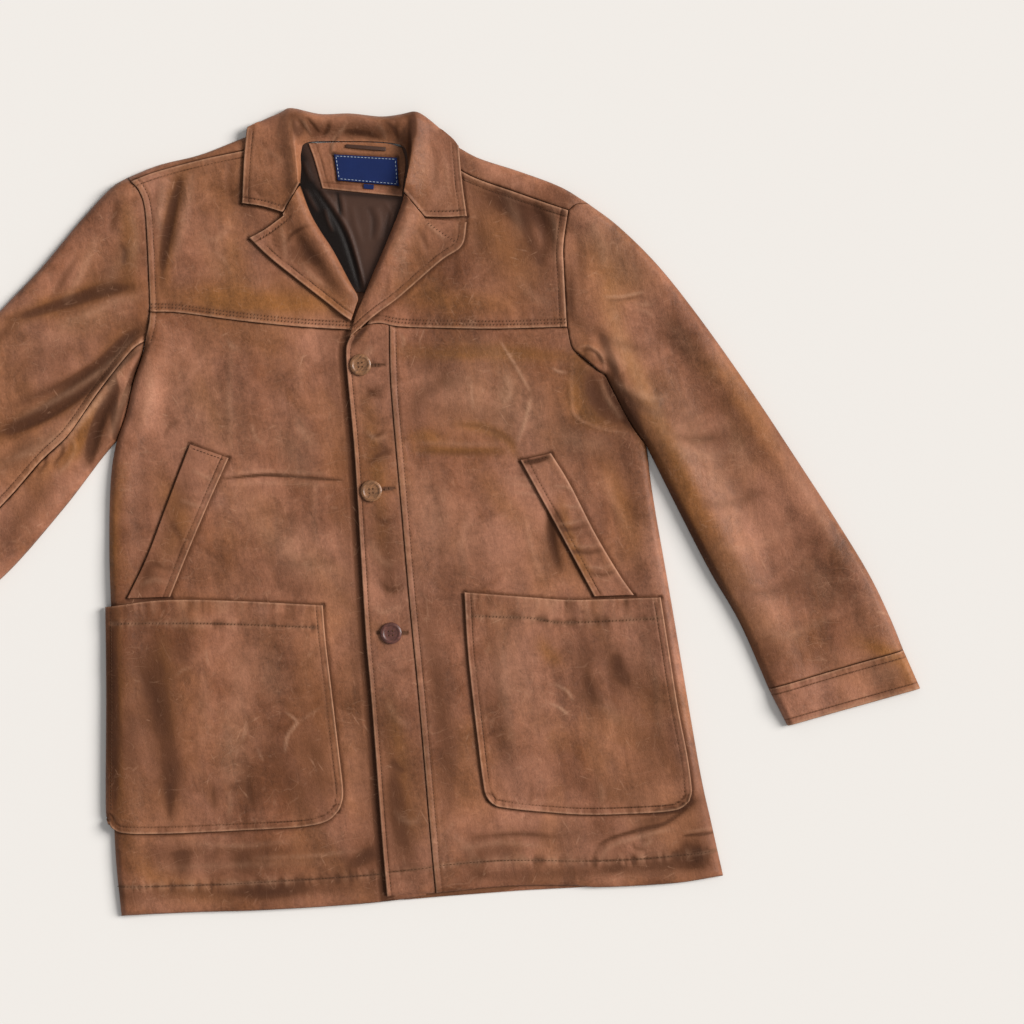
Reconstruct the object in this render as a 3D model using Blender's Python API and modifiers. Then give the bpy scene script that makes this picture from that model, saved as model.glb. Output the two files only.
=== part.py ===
"""Worn leather car coat, laid flat on its back with its three buttons fastened.

The coat lies in the XY plane with its collar toward +Y and the wearer's left
side toward +X. Left and right are the wearer's. Each cut piece is an open
surface over the plan of the coat, given its wall by a Solidify modifier.
"""
import math
from collections import namedtuple

import bmesh
import bpy
import numpy as np

# Driving dimensions, in metres
CHEST_WIDTH = 0.570
LEATHER = 0.0015
TWO_LAYERS = 0.0024
SATIN = 0.0010
SEAM_GAP = 0.0003
CURVED_SEAM_GAP = 0.0008
GORGE_GAP = 0.0020
ARMHOLE_GAP = 0.0012
LAID_GAP = 0.0007
FLAT_HEIGHT = 0.0068
LOWEST_TOP = 0.0038
FLOOR_RIM = 0.0006
COLLAR_RIM = 0.0022
EDGE_RADIUS = 0.008
REVERS_RADIUS = 0.007
UNDER_INSET = 0.0024
BACK_INSET = 0.0020
OVERLAP_LIFT = 0.0023
OVERLAP_FADE = 0.040
COLLAR_FOLD_HEIGHT = 0.008
LAPEL_FOLD_HEIGHT = 0.004
BUTTON_DIAMETER = 0.023
BUTTON_HOLE_RADIUS = 0.0010
BUTTON_HOLE_SPACING = 0.0042

# The plan was read from the photograph: its points are in photo pixels
CHEST_WIDTH_PX = 537
COAT_TURN = math.radians(4)
ORIGIN_PX = (315.35, 507.88)
METRES_PER_PX = CHEST_WIDTH / CHEST_WIDTH_PX

NECK_POINT_RIGHT = (256, 133)
NECK_POINT_LEFT = (448, 141)
SHOULDER_TIP_RIGHT = (127, 177)
SHOULDER_TIP_LEFT = (587, 202)
SHOULDER_RIGHT = [NECK_POINT_RIGHT, (241, 138), (200, 154), (160, 164), SHOULDER_TIP_RIGHT]
SHOULDER_LEFT = [NECK_POINT_LEFT, (459, 147), (480, 158), (520, 171), (560, 186), SHOULDER_TIP_LEFT]
FORWARD_SEAM_RIGHT = [(131.5, 182), (160, 171), (200, 160), (241, 151), (256, 147)]
FORWARD_SEAM_LEFT = [(448, 160), (460, 170), (480, 180), (520, 194), (568, 211)]

ARMHOLE_TIP_RIGHT = [SHOULDER_TIP_RIGHT, (131.5, 182)]
ARMHOLE_TIP_LEFT = [SHOULDER_TIP_LEFT, (576, 204.5), (568, 211)]
ARMHOLE_YOKE_RIGHT = [(131.5, 182), (140, 192), (145, 210), (148, 260), (150, 312)]
ARMHOLE_YOKE_LEFT = [(568, 211), (563.5, 245), (564, 270), (567, 327)]
ARMPIT_RIGHT = (145, 340)
ARMPIT_LEFT = (605, 376)
ARMHOLE_LOW_RIGHT = [(150, 312), (149, 325), ARMPIT_RIGHT]
ARMHOLE_LOW_LEFT = [(567, 327), (572, 347), (587, 361), ARMPIT_LEFT]
SIDE_RIGHT = [
    ARMPIT_RIGHT, (140.5, 358), (133, 380), (125, 415), (116, 441), (110, 480),
    (108.5, 550), (111, 640), (113.6, 830), (120.7, 916.4),
]
UNDERARM_LEFT = [ARMPIT_LEFT, (620, 405), (634, 430), (647, 447)]
SIDE_LEFT = [(647, 447), (654, 501), (672.6, 608), (699, 764), (711.4, 822), (723.5, 876)]

YOKE_SEAM_RIGHT = [(150, 312), (180, 313), (240, 321), (300, 327), (355, 330.2)]
YOKE_SEAM_LEFT = [(367, 325), (380, 323.5), (400, 327), (450, 328.5), (500, 329), (567, 327)]
YOKE_INNER_RIGHT = [(256, 147), (272, 185), (292, 222), (316, 256), (336, 285), (349, 308), (355, 330.2)]
YOKE_INNER_LEFT = [(448, 160), (432, 190), (416, 215), (403, 240), (389, 268), (376, 295), (367, 325)]
UNDERLAP_EDGE = [(382, 331), (426, 896)]
FRONT_EDGE = [
    (350, 337), (346.5, 345), (346, 358), (348, 384), (354.5, 454), (361, 560),
    (366, 640), (371.3, 700), (382, 840), (387, 897),
]
PLACKET_TOP = [(350, 337), (358, 330.5), (367, 325), (380, 323.7), (389.6, 325.3)]
PLACKET_SEAM = [
    (389.6, 325.3), (390.3, 370), (393, 412), (401.6, 510), (409, 596), (419, 700),
    (431, 840), (436, 893.6),
]
HEM_RIGHT = [(120.7, 916.4), (184, 913), (255, 911), (326, 907), (385, 902), (426, 896)]
HEM_LEFT = [(436, 893.6), (505, 887), (568, 886), (602, 887.7), (675, 883.6), (723.5, 876)]
HEM_BACK = [
    (120.7, 915.5), (255, 910.5), (385, 903), (406, 900.5), (457, 895), (513, 891.6),
    (602, 886.7), (675, 883), (723.5, 875.2),
]
BACK_NECK = [(448, 147), (400, 147), (350, 148), (300, 146), (256, 138)]

SLEEVE_RIGHT_OUTER = [
    SHOULDER_TIP_RIGHT, (110, 188), (80, 220), (40, 268), (0, 310), (-90, 409),
    (-180, 513), (-243, 587),
]
SLEEVE_RIGHT_INNER = [(116, 441), (100, 460), (60, 512), (0, 579), (-60, 620), (-139, 682)]
HIND_SEAM_RIGHT = [
    (144.5, 341), (130, 352), (100, 390), (70, 433), (40, 462), (0, 507), (-80, 582), (-165, 658),
]
CUFF_RIGHT_END = [(-270, 617), (-170, 708)]
SLEEVE_LEFT_OUTER = [
    SHOULDER_TIP_LEFT, (620, 227), (660, 267), (704, 323), (754, 394), (797, 459),
    (836, 519), (869, 573), (890, 616), (904, 650),
]
SLEEVE_LEFT_INNER = [(647, 447), (683, 519), (711, 573), (740, 623), (769, 689)]
CUFF_LEFT_END = [(788, 726), (921, 688.5)]

COLLAR_TIP_RIGHT = (242, 204)
COLLAR_TIP_LEFT = (467, 217)
GORGE_RIGHT = [(283, 213), (300, 185)]
GORGE_LEFT = [(404, 193), (425, 217.5)]
COLLAR_CORNER_RIGHT = (247, 128)
COLLAR_CORNER_LEFT = (459, 147)
COLLAR_TOP = [
    COLLAR_CORNER_RIGHT, (260, 121), (280, 112), (291, 107.5), (320, 113.5), (350, 113),
    (380, 116), (400, 114), (414, 111), (430, 121), COLLAR_CORNER_LEFT,
]
COLLAR_TOP_ROLL = COLLAR_TOP[1:-1] + [(440, 129)]
COLLAR_LEAF_RIGHT = [COLLAR_TIP_RIGHT, (244, 160), COLLAR_CORNER_RIGHT]
COLLAR_LEAF_LEFT = [COLLAR_CORNER_LEFT, (462, 180), COLLAR_TIP_LEFT]
COLLAR_SEAM = [
    (300, 185), (301, 168), (301, 152), (308, 142), (345, 141), (385, 142),
    (404, 147), (408, 163), (407, 178), (404, 193),
]
COLLAR_FOLD = [
    (299, 183), (297, 160), (294, 140), (293, 124), (299, 117), (320, 121), (350, 121),
    (380, 124), (400, 121), (411, 121), (413, 135), (411, 158), (406, 183),
]
LAPEL_TIP_RIGHT = (249, 238)
LAPEL_TOP_RIGHT = [LAPEL_TIP_RIGHT, (265, 229), (284, 215)]
LAPEL_LOW_RIGHT = [LAPEL_TIP_RIGHT, (270, 258), (300, 282), (327, 303), (340, 313.5), (351, 321)]
LAPEL_ROLL_RIGHT = [
    (300, 185), (310, 212), (320, 230), (333, 250), (350, 282), (358, 297), (356, 306), (351, 321),
]
LAPEL_TIP_LEFT = (467, 222)
LAPEL_TOP_LEFT = [LAPEL_TIP_LEFT, (425, 218.5)]
LAPEL_LOW_LEFT = [
    LAPEL_TIP_LEFT, (462, 246), (440, 262), (400, 297), (380, 312), (370, 320), (360, 329), (350, 338),
]
LAPEL_ROLL_LEFT = [
    (404, 193), (400, 208), (385, 245), (370, 280), (362, 301), (357, 312), (353, 325), (350, 338),
]
# The lapels' rolls lie on the other front from this photo row down
APEX_ROWS = (278, 296)

POCKET_RIGHT = {
    "top": [(104.6, 607), (161, 600), (232, 600.5), (323, 605)],
    "bottom": [(107, 822), (125, 833), (161, 834), (232, 831), (291, 828), (314, 825), (334, 815)],
    "left": [(104.6, 607), (105.5, 700), (107, 822)],
    "right": [(323, 605), (326, 641), (333, 700), (340, 759), (343.5, 790), (334, 815)],
}
POCKET_LEFT = {
    "top": [(464, 592), (530, 597), (566, 599.5), (602, 599), (660.5, 597)],
    "bottom": [(490, 801), (505, 808), (542, 812), (590, 815), (651, 813), (684, 808)],
    "left": [(464, 592), (468, 657), (479, 754), (483, 788), (490, 801)],
    "right": [(660.5, 597), (668, 645), (677.5, 705), (687, 754), (692, 788), (684, 808)],
}
WELT_RIGHT = {
    "top": [(190, 444), (229, 458)],
    "bottom": [(127.6, 598.5), (170.4, 597)],
    "left": [(190, 444), (167, 504), (147, 557), (127.6, 598.5)],
    "right": [(229, 458), (209, 503), (190, 548), (170.4, 597)],
}
WELT_LEFT = {
    "top": [(520, 460), (551, 453)],
    "bottom": [(594, 596.5), (634, 595)],
    "left": [(520, 460), (539.6, 496), (560, 533), (594, 596.5)],
    "right": [(551, 453), (570, 484), (595, 533), (619, 573.5), (634, 595)],
}
NECK_FACING = {
    "top": [(308, 143.2), (345, 141.9), (385, 142.9), (402, 147.6)],
    "bottom": [(322, 188.5), (345, 191), (375, 194), (402, 196.5)],
    "left": [(308, 143.2), (314, 160), (322, 188.5)],
    "right": [(402, 147.6), (405.5, 163), (402, 196.5)],
}
LINING = {
    "top": [(296, 150), (350, 151), (412, 150)],
    "bottom": [(346, 292), (369, 292)],
    "left": [(296, 150), (294, 190), (318, 245), (346, 292)],
    "right": [(412, 150), (409, 195), (391, 242), (369, 292)],
}
LABEL = {
    "top": [(333.6, 154), (397, 157.5)],
    "bottom": [(337.3, 180.4), (399, 186)],
    "left": [(333.6, 154), (337.3, 180.4)],
    "right": [(397, 157.5), (399, 186)],
}
SIZE_TAB = {
    "top": [(363.4, 183.6), (374, 184.6)],
    "bottom": [(363.6, 188.6), (373.6, 189.4)],
    "left": [(363.4, 183.6), (363.6, 188.6)],
    "right": [(374, 184.6), (373.6, 189.4)],
}
HANGER_LOOP = {
    "top": [(346, 144), (366, 145.5), (386, 147)],
    "bottom": [(345, 147.5), (366, 149.5), (386, 151)],
    "left": [(346, 144), (345, 147.5)],
    "right": [(386, 147), (386, 151)],
}
BUTTONS_PX = [(360.6, 365), (371.5, 491), (391.2, 633)]

ROLL_STEPS = (0.0, 0.0012, 0.0040, 0.0090, 0.017, 0.030)
LAID_STEPS = (0.0, 0.008, 0.020)
ARMHOLE_STEPS = (0.0, 0.009, 0.018, 0.027, 0.036, 0.046, 0.060)

LEATHER_BROWN = (0.27, 0.125, 0.075)
LEATHER_WORN = (0.33, 0.16, 0.09)
LEATHER_DARK = (0.20, 0.09, 0.055)
SATIN_BROWN = (0.065, 0.040, 0.027)
LABEL_NAVY = (0.012, 0.035, 0.20)
BUTTON_TAN = (0.28, 0.13, 0.055)

Roll = namedtuple("Roll", "line heights reach")
Fold = namedtuple("Fold", "line height width")


def place(points):
    """Photo points in the coat's own plan, in metres."""
    shift = (np.asarray(points, float) - ORIGIN_PX) * METRES_PER_PX
    east, north = shift[:, 0], -shift[:, 1]
    cosine, sine = math.cos(COAT_TURN), math.sin(COAT_TURN)
    return np.column_stack([east * cosine + north * sine, north * cosine - east * sine])


def at(line, fractions):
    """Points of a line at the given fractions of its length."""
    steps = np.hypot(*np.diff(line, axis=0).T)
    length = np.concatenate([[0.0], np.cumsum(steps)])
    where = np.asarray(fractions) * length[-1]
    return np.column_stack([np.interp(where, length, line[:, axis]) for axis in (0, 1)])


def smooth(points, samples=120):
    """A smooth line in plan through photo points, with even spacing."""
    knots = place(points)
    if len(knots) == 2:
        return at(knots, np.linspace(0, 1, samples))
    ends = np.vstack([2 * knots[0] - knots[1], knots, 2 * knots[-1] - knots[-2]])
    run = []
    for before, start, end, after in zip(ends, ends[1:], ends[2:], ends[3:]):
        for step in np.linspace(0, 1, 16, endpoint=False):
            bend = (2 * before - 5 * start + 4 * end - after) * step**2
            twist = (3 * start - before - 3 * end + after) * step**3
            run.append(start + 0.5 * ((end - before) * step + bend + twist))
    run.append(knots[-1])
    return at(np.array(run), np.linspace(0, 1, samples))


def joined(*runs):
    """One line from several, for an edge with corners in it."""
    parts = [smooth(run) for run in runs]
    return at(np.vstack(parts), np.linspace(0, 1, 240))


def length_of(line):
    return np.hypot(*np.diff(line, axis=0).T).sum()


def stations(length, count, start=(0.0,), end=(0.0,)):
    """Fractions along a piece: close together near its rolled ends, then even."""
    near = [step / length for step in start]
    far = [1 - step / length for step in end]
    middle = np.linspace(near[-1], far[-1], count + 1)
    return np.unique(np.round(np.concatenate([near, middle, far]), 6))


def patch(top, bottom, left, right, across, down, gaps=(SEAM_GAP,) * 4, fade=1):
    """Plan points of a four-sided piece, cut back by half a seam's gap all round.

    The shape of each side fades with distance from it, faster with a higher fade.
    """
    width = 0.5 * (length_of(top) + length_of(bottom))
    height = 0.5 * (length_of(left) + length_of(right))
    gap_top, gap_bottom, gap_left, gap_right = gaps
    low, high = 0.5 * gap_left / width, 1 - 0.5 * gap_right / width
    u = low + (high - low) * across
    low, high = 0.5 * gap_top / height, 1 - 0.5 * gap_bottom / height
    v = low + (high - low) * down
    u_grid, v_grid = (grid[..., None] for grid in np.meshgrid(u, v))
    plan = (1 - v_grid) * at(top, u)[None] + v_grid * at(bottom, u)[None]
    left_bow = at(left, v)[:, None] - (1 - v_grid) * top[0] - v_grid * bottom[0]
    right_bow = at(right, v)[:, None] - (1 - v_grid) * top[-1] - v_grid * bottom[-1]
    return plan + (1 - u_grid) ** fade * left_bow + u_grid**fade * right_bow


def distance(plan, line):
    """Way from each plan point to a line, and the fraction along it where it meets."""
    start, run = line[:-1], np.diff(line, axis=0)
    offset = plan[..., None, :] - start
    along = np.clip((offset * run).sum(-1) / (run**2).sum(-1), 0, 1)
    gap = np.hypot(*np.moveaxis(offset - along[..., None] * run, -1, 0))
    nearest = gap.argmin(-1)
    picked = np.take_along_axis(along, nearest[..., None], -1)[..., 0]
    return gap.min(-1), (nearest + picked) / len(run)


def rounded(gap, radius):
    """Quarter round, from 0 on a folded edge to 1 one radius in."""
    inside = np.clip(gap / radius, 0, 1)
    return np.sqrt(1 - (1 - inside) ** 2)


def eased(value):
    value = np.clip(value, 0, 1)
    return value * value * (3 - 2 * value)


SHOULDER_ROLLS = [
    Roll(smooth(SHOULDER_RIGHT), (0.0, 0.003, 0.004), 0.016),
    Roll(smooth(SHOULDER_LEFT), (0.0, 0.003, 0.004), 0.016),
]
OUTER_ROLLS = [
    Roll(smooth(SLEEVE_RIGHT_OUTER), (0.004, 0.006, 0.006), 0.018),
    Roll(smooth(SLEEVE_LEFT_OUTER), (0.004, 0.007, 0.005), 0.018),
]
SIDE_ROLLS = [
    Roll(smooth(SIDE_RIGHT), (0.004, 0.005, 0.003), 0.015),
    Roll(smooth(SIDE_LEFT), (0.002, 0.004, 0.003), 0.015),
]
INNER_ROLLS = [
    Roll(joined(SIDE_RIGHT[:5], SLEEVE_RIGHT_INNER), (0.001, 0.003, 0.006, 0.006), 0.016),
    Roll(joined(UNDERARM_LEFT, SLEEVE_LEFT_INNER), (0.003, 0.012, 0.010, 0.008, 0.005), 0.024),
]
BODY_ROLLS = SHOULDER_ROLLS + OUTER_ROLLS + SIDE_ROLLS
SLEEVE_ROLLS = SHOULDER_ROLLS + OUTER_ROLLS + INNER_ROLLS

FOLDS = [
    Fold([(140, 322), (100, 366), (40, 412), (-30, 440)], -0.0040, 0.011),
    Fold([(120, 372), (80, 415), (30, 447), (-20, 480)], 0.0035, 0.009),
    Fold([(135, 287), (100, 292), (60, 305), (15, 320)], -0.0025, 0.010),
    Fold([(112, 395), (95, 430), (85, 470)], -0.0020, 0.008),
    Fold([(-70, 500), (-130, 520), (-190, 560)], -0.0020, 0.012),
    Fold([(585, 352), (606, 356), (622, 372)], 0.0030, 0.008),
    Fold([(598, 296), (625, 291), (655, 300)], -0.0020, 0.010),
    Fold([(640, 330), (690, 420), (735, 520)], 0.0020, 0.014),
    Fold([(530, 200), (546, 235), (541, 268)], -0.0018, 0.010),
    Fold([(180, 178), (172, 210), (162, 260)], -0.0018, 0.010),
    Fold([(578, 372), (573, 400), (590, 424)], -0.0018, 0.010),
    Fold([(552, 508), (550, 545), (556, 585)], -0.0015, 0.010),
    Fold([(440, 425), (480, 432), (515, 442)], -0.0012, 0.008),
    Fold([(222, 479), (273, 475), (340, 481)], -0.0012, 0.007),
]


def levelled(plan, rolls):
    """Height of the laid leather before it drops at its folded edges."""
    height = np.full(plan.shape[:-1], FLAT_HEIGHT)
    for roll in rolls:
        gap, along = distance(plan, roll.line)
        crown = np.interp(along, np.linspace(0, 1, len(roll.heights)), roll.heights)
        height += crown * np.exp(-(((gap - roll.reach) / roll.reach) ** 2))
    for fold in FOLDS:
        gap, along = distance(plan, smooth(fold.line, 40))
        ends = np.sin(math.pi * np.clip(along, 0, 1)) ** 0.5
        height += fold.height * ends * np.exp(-((gap / fold.width) ** 2))
    return np.maximum(height, LOWEST_TOP)


def dropped(plan, height, rolls, radius=EDGE_RADIUS):
    """The same leather, rolled down to the floor at its folded edges."""
    share = np.ones(plan.shape[:-1])
    for roll in rolls:
        share *= rounded(distance(plan, roll.line)[0], radius)
    return FLOOR_RIM + (height - FLOOR_RIM) * share


def overlap_lift(plan):
    """How far the left front is lifted by the right front beneath it."""
    seam = smooth(PLACKET_SEAM)
    gap, _ = distance(plan, seam)
    seam_x = np.interp(-plan[..., 1], -seam[:, 1], seam[:, 0])
    over = (plan[..., 0] < seam_x) & (plan[..., 1] < seam[0, 1])
    return OVERLAP_LIFT * (1 - eased(np.where(over, 0, gap) / OVERLAP_FADE))


def body_right(plan):
    return dropped(plan, levelled(plan, BODY_ROLLS), BODY_ROLLS)


def body_left(plan):
    return dropped(plan, levelled(plan, BODY_ROLLS) + overlap_lift(plan), BODY_ROLLS)


def sleeve(plan):
    return dropped(plan, levelled(plan, SLEEVE_ROLLS), SLEEVE_ROLLS)


def revers(plan):
    """Top of the collar leaf and lapels where they lie on the fronts."""
    return levelled(plan, BODY_ROLLS) + overlap_lift(plan) + TWO_LAYERS + LAID_GAP


def lapel(roll_points):
    """Height of a lapel, thick at its roll and turned under there."""
    roll_line = smooth(roll_points)
    upper, lower = place([(360, row) for row in APEX_ROWS])[:, 1]

    def height(plan):
        gap, _ = distance(plan, roll_line)
        top = revers(plan)
        crown = LAPEL_FOLD_HEIGHT * np.exp(-(((gap - 0.010) / 0.012) ** 2))
        resting = eased((upper - plan[..., 1]) / (upper - lower))
        rim = 0.0048 + (top - 0.0006 - 0.0048) * resting
        return rim + (top + crown * (1 - 0.6 * resting) - rim) * rounded(gap, REVERS_RADIUS)

    return height


def within(plan, ring):
    """True for the plan points inside a closed ring."""
    inside = np.zeros(plan.shape[:-1], bool)
    x, y = plan[..., 0], plan[..., 1]
    for (x0, y0), (x1, y1) in zip(ring, np.roll(ring, -1, axis=0)):
        crosses = (y0 > y) != (y1 > y)
        rise = y1 - y0 if y1 != y0 else 1.0
        inside ^= crosses & (x < x0 + (x1 - x0) * (y - y0) / rise)
    return inside


def collar(plan):
    """Collar leaf outside its fold, and the stand inside it down to the neck seam."""
    fold, seam = smooth(COLLAR_FOLD), smooth(COLLAR_SEAM)
    to_fold, to_seam = distance(plan, fold)[0], distance(plan, seam)[0]
    leaf = revers(plan) + COLLAR_FOLD_HEIGHT * np.exp(-((to_fold / 0.013) ** 2))
    leaf = COLLAR_RIM + (leaf - COLLAR_RIM) * rounded(distance(plan, smooth(COLLAR_TOP_ROLL))[0], EDGE_RADIUS)
    crest = revers(plan) + COLLAR_FOLD_HEIGHT
    seam_height = 0.0056
    stand = seam_height + (crest - seam_height) * eased(to_seam / (to_seam + to_fold + 1e-9))
    return np.where(within(plan, fold), stand, leaf)


def make_material(name, color, roughness, metallic=0.0):
    material = bpy.data.materials.new(name)
    material.use_nodes = True
    shader = material.node_tree.nodes["Principled BSDF"]
    shader.inputs["Base Color"].default_value = (*color, 1)
    shader.inputs["Roughness"].default_value = roughness
    shader.inputs["Metallic"].default_value = metallic
    return material


def new_collection(name):
    collection = bpy.data.collections.new(name)
    bpy.context.scene.collection.children.link(collection)
    return collection


def add_sheet(name, plan, height, wall, color, roughness=0.55):
    """A piece of cloth: a grid bent over the plan, with its wall below it."""
    rows, columns = plan.shape[:2]
    bm = bmesh.new()
    bmesh.ops.create_grid(bm, x_segments=columns - 1, y_segments=rows - 1, size=1.0)
    for vertex in bm.verts:
        column = round((vertex.co.x + 1) / 2 * (columns - 1))
        row = round((1 - vertex.co.y) / 2 * (rows - 1))
        vertex.co = (*plan[row, column], height[row, column])
    bm.normal_update()
    if sum(face.calc_area() * face.normal.z for face in bm.faces) < 0:
        bmesh.ops.reverse_faces(bm, faces=bm.faces)
    mesh = bpy.data.meshes.new(name)
    bm.to_mesh(mesh)
    bm.free()
    mesh.shade_smooth()
    mesh.materials.append(make_material(name, color, roughness))
    piece = bpy.data.objects.new(name, mesh)
    coat.objects.link(piece)
    shell = piece.modifiers.new("wall", "SOLIDIFY")
    shell.thickness = wall
    shell.offset = -1
    return piece


def add_laid(name, edges, across, down, height, wall, color, roughness=0.55):
    """A four-sided piece given by photo points, such as a pocket or the label."""
    lines = [smooth(edges[side]) for side in ("top", "bottom", "left", "right")]
    plan = patch(*lines, across(length_of(lines[0])), down(length_of(lines[2])))
    return add_sheet(name, plan, height(plan), wall, color, roughness)


def rolled(count, start, end):
    """Stations that suit a piece of any length, closer together at its ends."""
    return lambda length: stations(length, count, start, end)


def even(count, steps=(0.0,)):
    return rolled(count, steps, steps)


def inset(line, amount):
    """The line moved sideways, to its left as it runs."""
    run = np.gradient(line, axis=0)
    side = np.column_stack([-run[:, 1], run[:, 0]]) / np.hypot(*run.T)[:, None]
    return line + amount * side


def flat(top):
    return lambda plan: np.full(plan.shape[:-1], top)


def make_back():
    right_edge = inset(joined(ARMHOLE_YOKE_RIGHT, ARMHOLE_LOW_RIGHT, SIDE_RIGHT), BACK_INSET)
    armhole = ARMHOLE_YOKE_LEFT, ARMHOLE_LOW_LEFT
    left_edge = inset(joined(*armhole, UNDERARM_LEFT, SIDE_LEFT), -BACK_INSET)
    neck = np.vstack([right_edge[:1], smooth(BACK_NECK[::-1]), left_edge[:1]])
    hem = smooth(HEM_BACK)
    hem = np.vstack([right_edge[-1:], hem[4:-4], left_edge[-1:]])
    plan = patch(neck, hem, right_edge, left_edge, stations(0.6, 6), stations(0.75, 18))
    add_sheet("back", plan, np.full(plan.shape[:2], LEATHER), LEATHER, LEATHER_DARK)


def make_yokes():
    across = stations(0.24, 8, LAID_STEPS, ARMHOLE_STEPS[:3])
    down = stations(0.17, 6, ARMHOLE_STEPS[:4], LAID_STEPS[:2])
    gaps = (CURVED_SEAM_GAP, CURVED_SEAM_GAP, ARMHOLE_GAP, SEAM_GAP)
    plan = patch(
        smooth(FORWARD_SEAM_RIGHT), smooth(YOKE_SEAM_RIGHT), smooth(ARMHOLE_YOKE_RIGHT),
        smooth(YOKE_INNER_RIGHT), 1 - across[::-1], down, gaps,
    )
    add_sheet("yoke_right", plan, body_right(plan), LEATHER, LEATHER_BROWN)
    gaps = (CURVED_SEAM_GAP, CURVED_SEAM_GAP, SEAM_GAP, ARMHOLE_GAP)
    plan = patch(
        smooth(FORWARD_SEAM_LEFT), smooth(YOKE_SEAM_LEFT), smooth(YOKE_INNER_LEFT),
        smooth(ARMHOLE_YOKE_LEFT), across, down, gaps,
    )
    add_sheet("yoke_left", plan, body_left(plan), LEATHER, LEATHER_BROWN)


def make_back_yokes():
    for side, shoulder, seam, height in (
        ("right", smooth(SHOULDER_RIGHT)[::-1], smooth(FORWARD_SEAM_RIGHT), body_right),
        ("left", smooth(SHOULDER_LEFT), smooth(FORWARD_SEAM_LEFT), body_left),
    ):
        first, last = (np.vstack([shoulder[end], seam[end]]) for end in (0, -1))
        if side == "left":
            last = smooth(ARMHOLE_TIP_LEFT)
        across = stations(0.14, 11)
        down = stations(0.014, 3, ROLL_STEPS[:4])
        gaps = (0.0, 2 * CURVED_SEAM_GAP, ARMHOLE_GAP, ARMHOLE_GAP)
        plan = patch(shoulder, seam, first, last, across, down, gaps)
        add_sheet(f"back_yoke_{side}", plan, height(plan), LEATHER, LEATHER_BROWN)


def make_fronts():
    down = stations(0.62, 16, ARMHOLE_STEPS)
    across = stations(0.28, 8, ROLL_STEPS)
    underlap = smooth(UNDERLAP_EDGE)
    top = joined(YOKE_SEAM_RIGHT, [(355, 330.2), (382, 331)])
    side = joined(ARMHOLE_LOW_RIGHT, SIDE_RIGHT)
    gaps = (CURVED_SEAM_GAP, 0.0, ARMHOLE_GAP, 0.0)
    plan = patch(top, smooth(HEM_RIGHT), side, underlap, across, down, gaps)
    add_sheet("front_right", plan, body_right(plan), LEATHER, LEATHER_BROWN)
    start = YOKE_SEAM_LEFT.index((400, 327))
    top = smooth([(389.6, 325.3)] + YOKE_SEAM_LEFT[start:])
    side = joined(ARMHOLE_LOW_LEFT, UNDERARM_LEFT, SIDE_LEFT)
    across = stations(0.28, 7, LAID_STEPS[:2], ROLL_STEPS)
    gaps = (CURVED_SEAM_GAP, 0.0, SEAM_GAP, ARMHOLE_GAP)
    plan = patch(top, smooth(HEM_LEFT), smooth(PLACKET_SEAM), side, across, down, gaps)
    add_sheet("front_left", plan, body_left(plan), LEATHER, LEATHER_BROWN)


def make_placket():
    bottom = smooth([FRONT_EDGE[-1], PLACKET_SEAM[-1]])
    across, down = stations(0.043, 3), stations(0.6, 20)
    gaps = (SEAM_GAP, 0.0, 0.0, SEAM_GAP)
    plan = patch(
        smooth(PLACKET_TOP), bottom, smooth(FRONT_EDGE), smooth(PLACKET_SEAM), across, down, gaps
    )
    add_sheet("placket_left", plan, body_left(plan), LEATHER, LEATHER_WORN)


def make_collar_and_lapels():
    outer = joined(COLLAR_LEAF_RIGHT, COLLAR_TOP, COLLAR_LEAF_LEFT)
    inner = smooth(COLLAR_SEAM)
    first = joined([COLLAR_TIP_RIGHT, (262, 207), (283, 213)], GORGE_RIGHT)
    last = joined([COLLAR_TIP_LEFT, (445, 218), (425, 217.5)], GORGE_LEFT[::-1])
    along, over = stations(0.35, 32), stations(0.06, 8)
    gaps = (0.0, 0.0, GORGE_GAP, GORGE_GAP)
    plan = patch(outer, inner, first, last, along, over, gaps, fade=6)
    add_sheet("collar", plan, collar(plan), TWO_LAYERS, LEATHER_WORN)
    fall = {
        "top": [(262, 125), (291, 112), (350, 118), (414, 116), (441, 135)],
        "bottom": [(262, 131), (300, 140), (350, 142), (400, 141), (441, 139)],
        "left": [(262, 125), (262, 131)],
        "right": [(441, 135), (441, 139)],
    }
    add_laid("collar_fall", fall, even(8), even(1), flat(LEATHER), LEATHER, LEATHER_DARK)
    for side, top, low, roll in (
        ("right", joined(LAPEL_TOP_RIGHT, GORGE_RIGHT), smooth(LAPEL_LOW_RIGHT), LAPEL_ROLL_RIGHT),
        ("left", joined(LAPEL_TOP_LEFT, GORGE_LEFT[::-1]), smooth(LAPEL_LOW_LEFT), LAPEL_ROLL_LEFT),
    ):
        roll_line = smooth(roll)
        tail = np.vstack([low[-1], 0.5 * (low[-1] + roll_line[-4]), roll_line[-4]])
        across = stations(0.07, 5, (0.0,), ROLL_STEPS[:4])
        down = stations(0.16, 14)
        plan = patch(top, tail, low, roll_line[:-3], across, down, (GORGE_GAP, 0.0, 0.0, 0.0))
        add_sheet(f"lapel_{side}", plan, lapel(roll)(plan), TWO_LAYERS, LEATHER_WORN)


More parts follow.
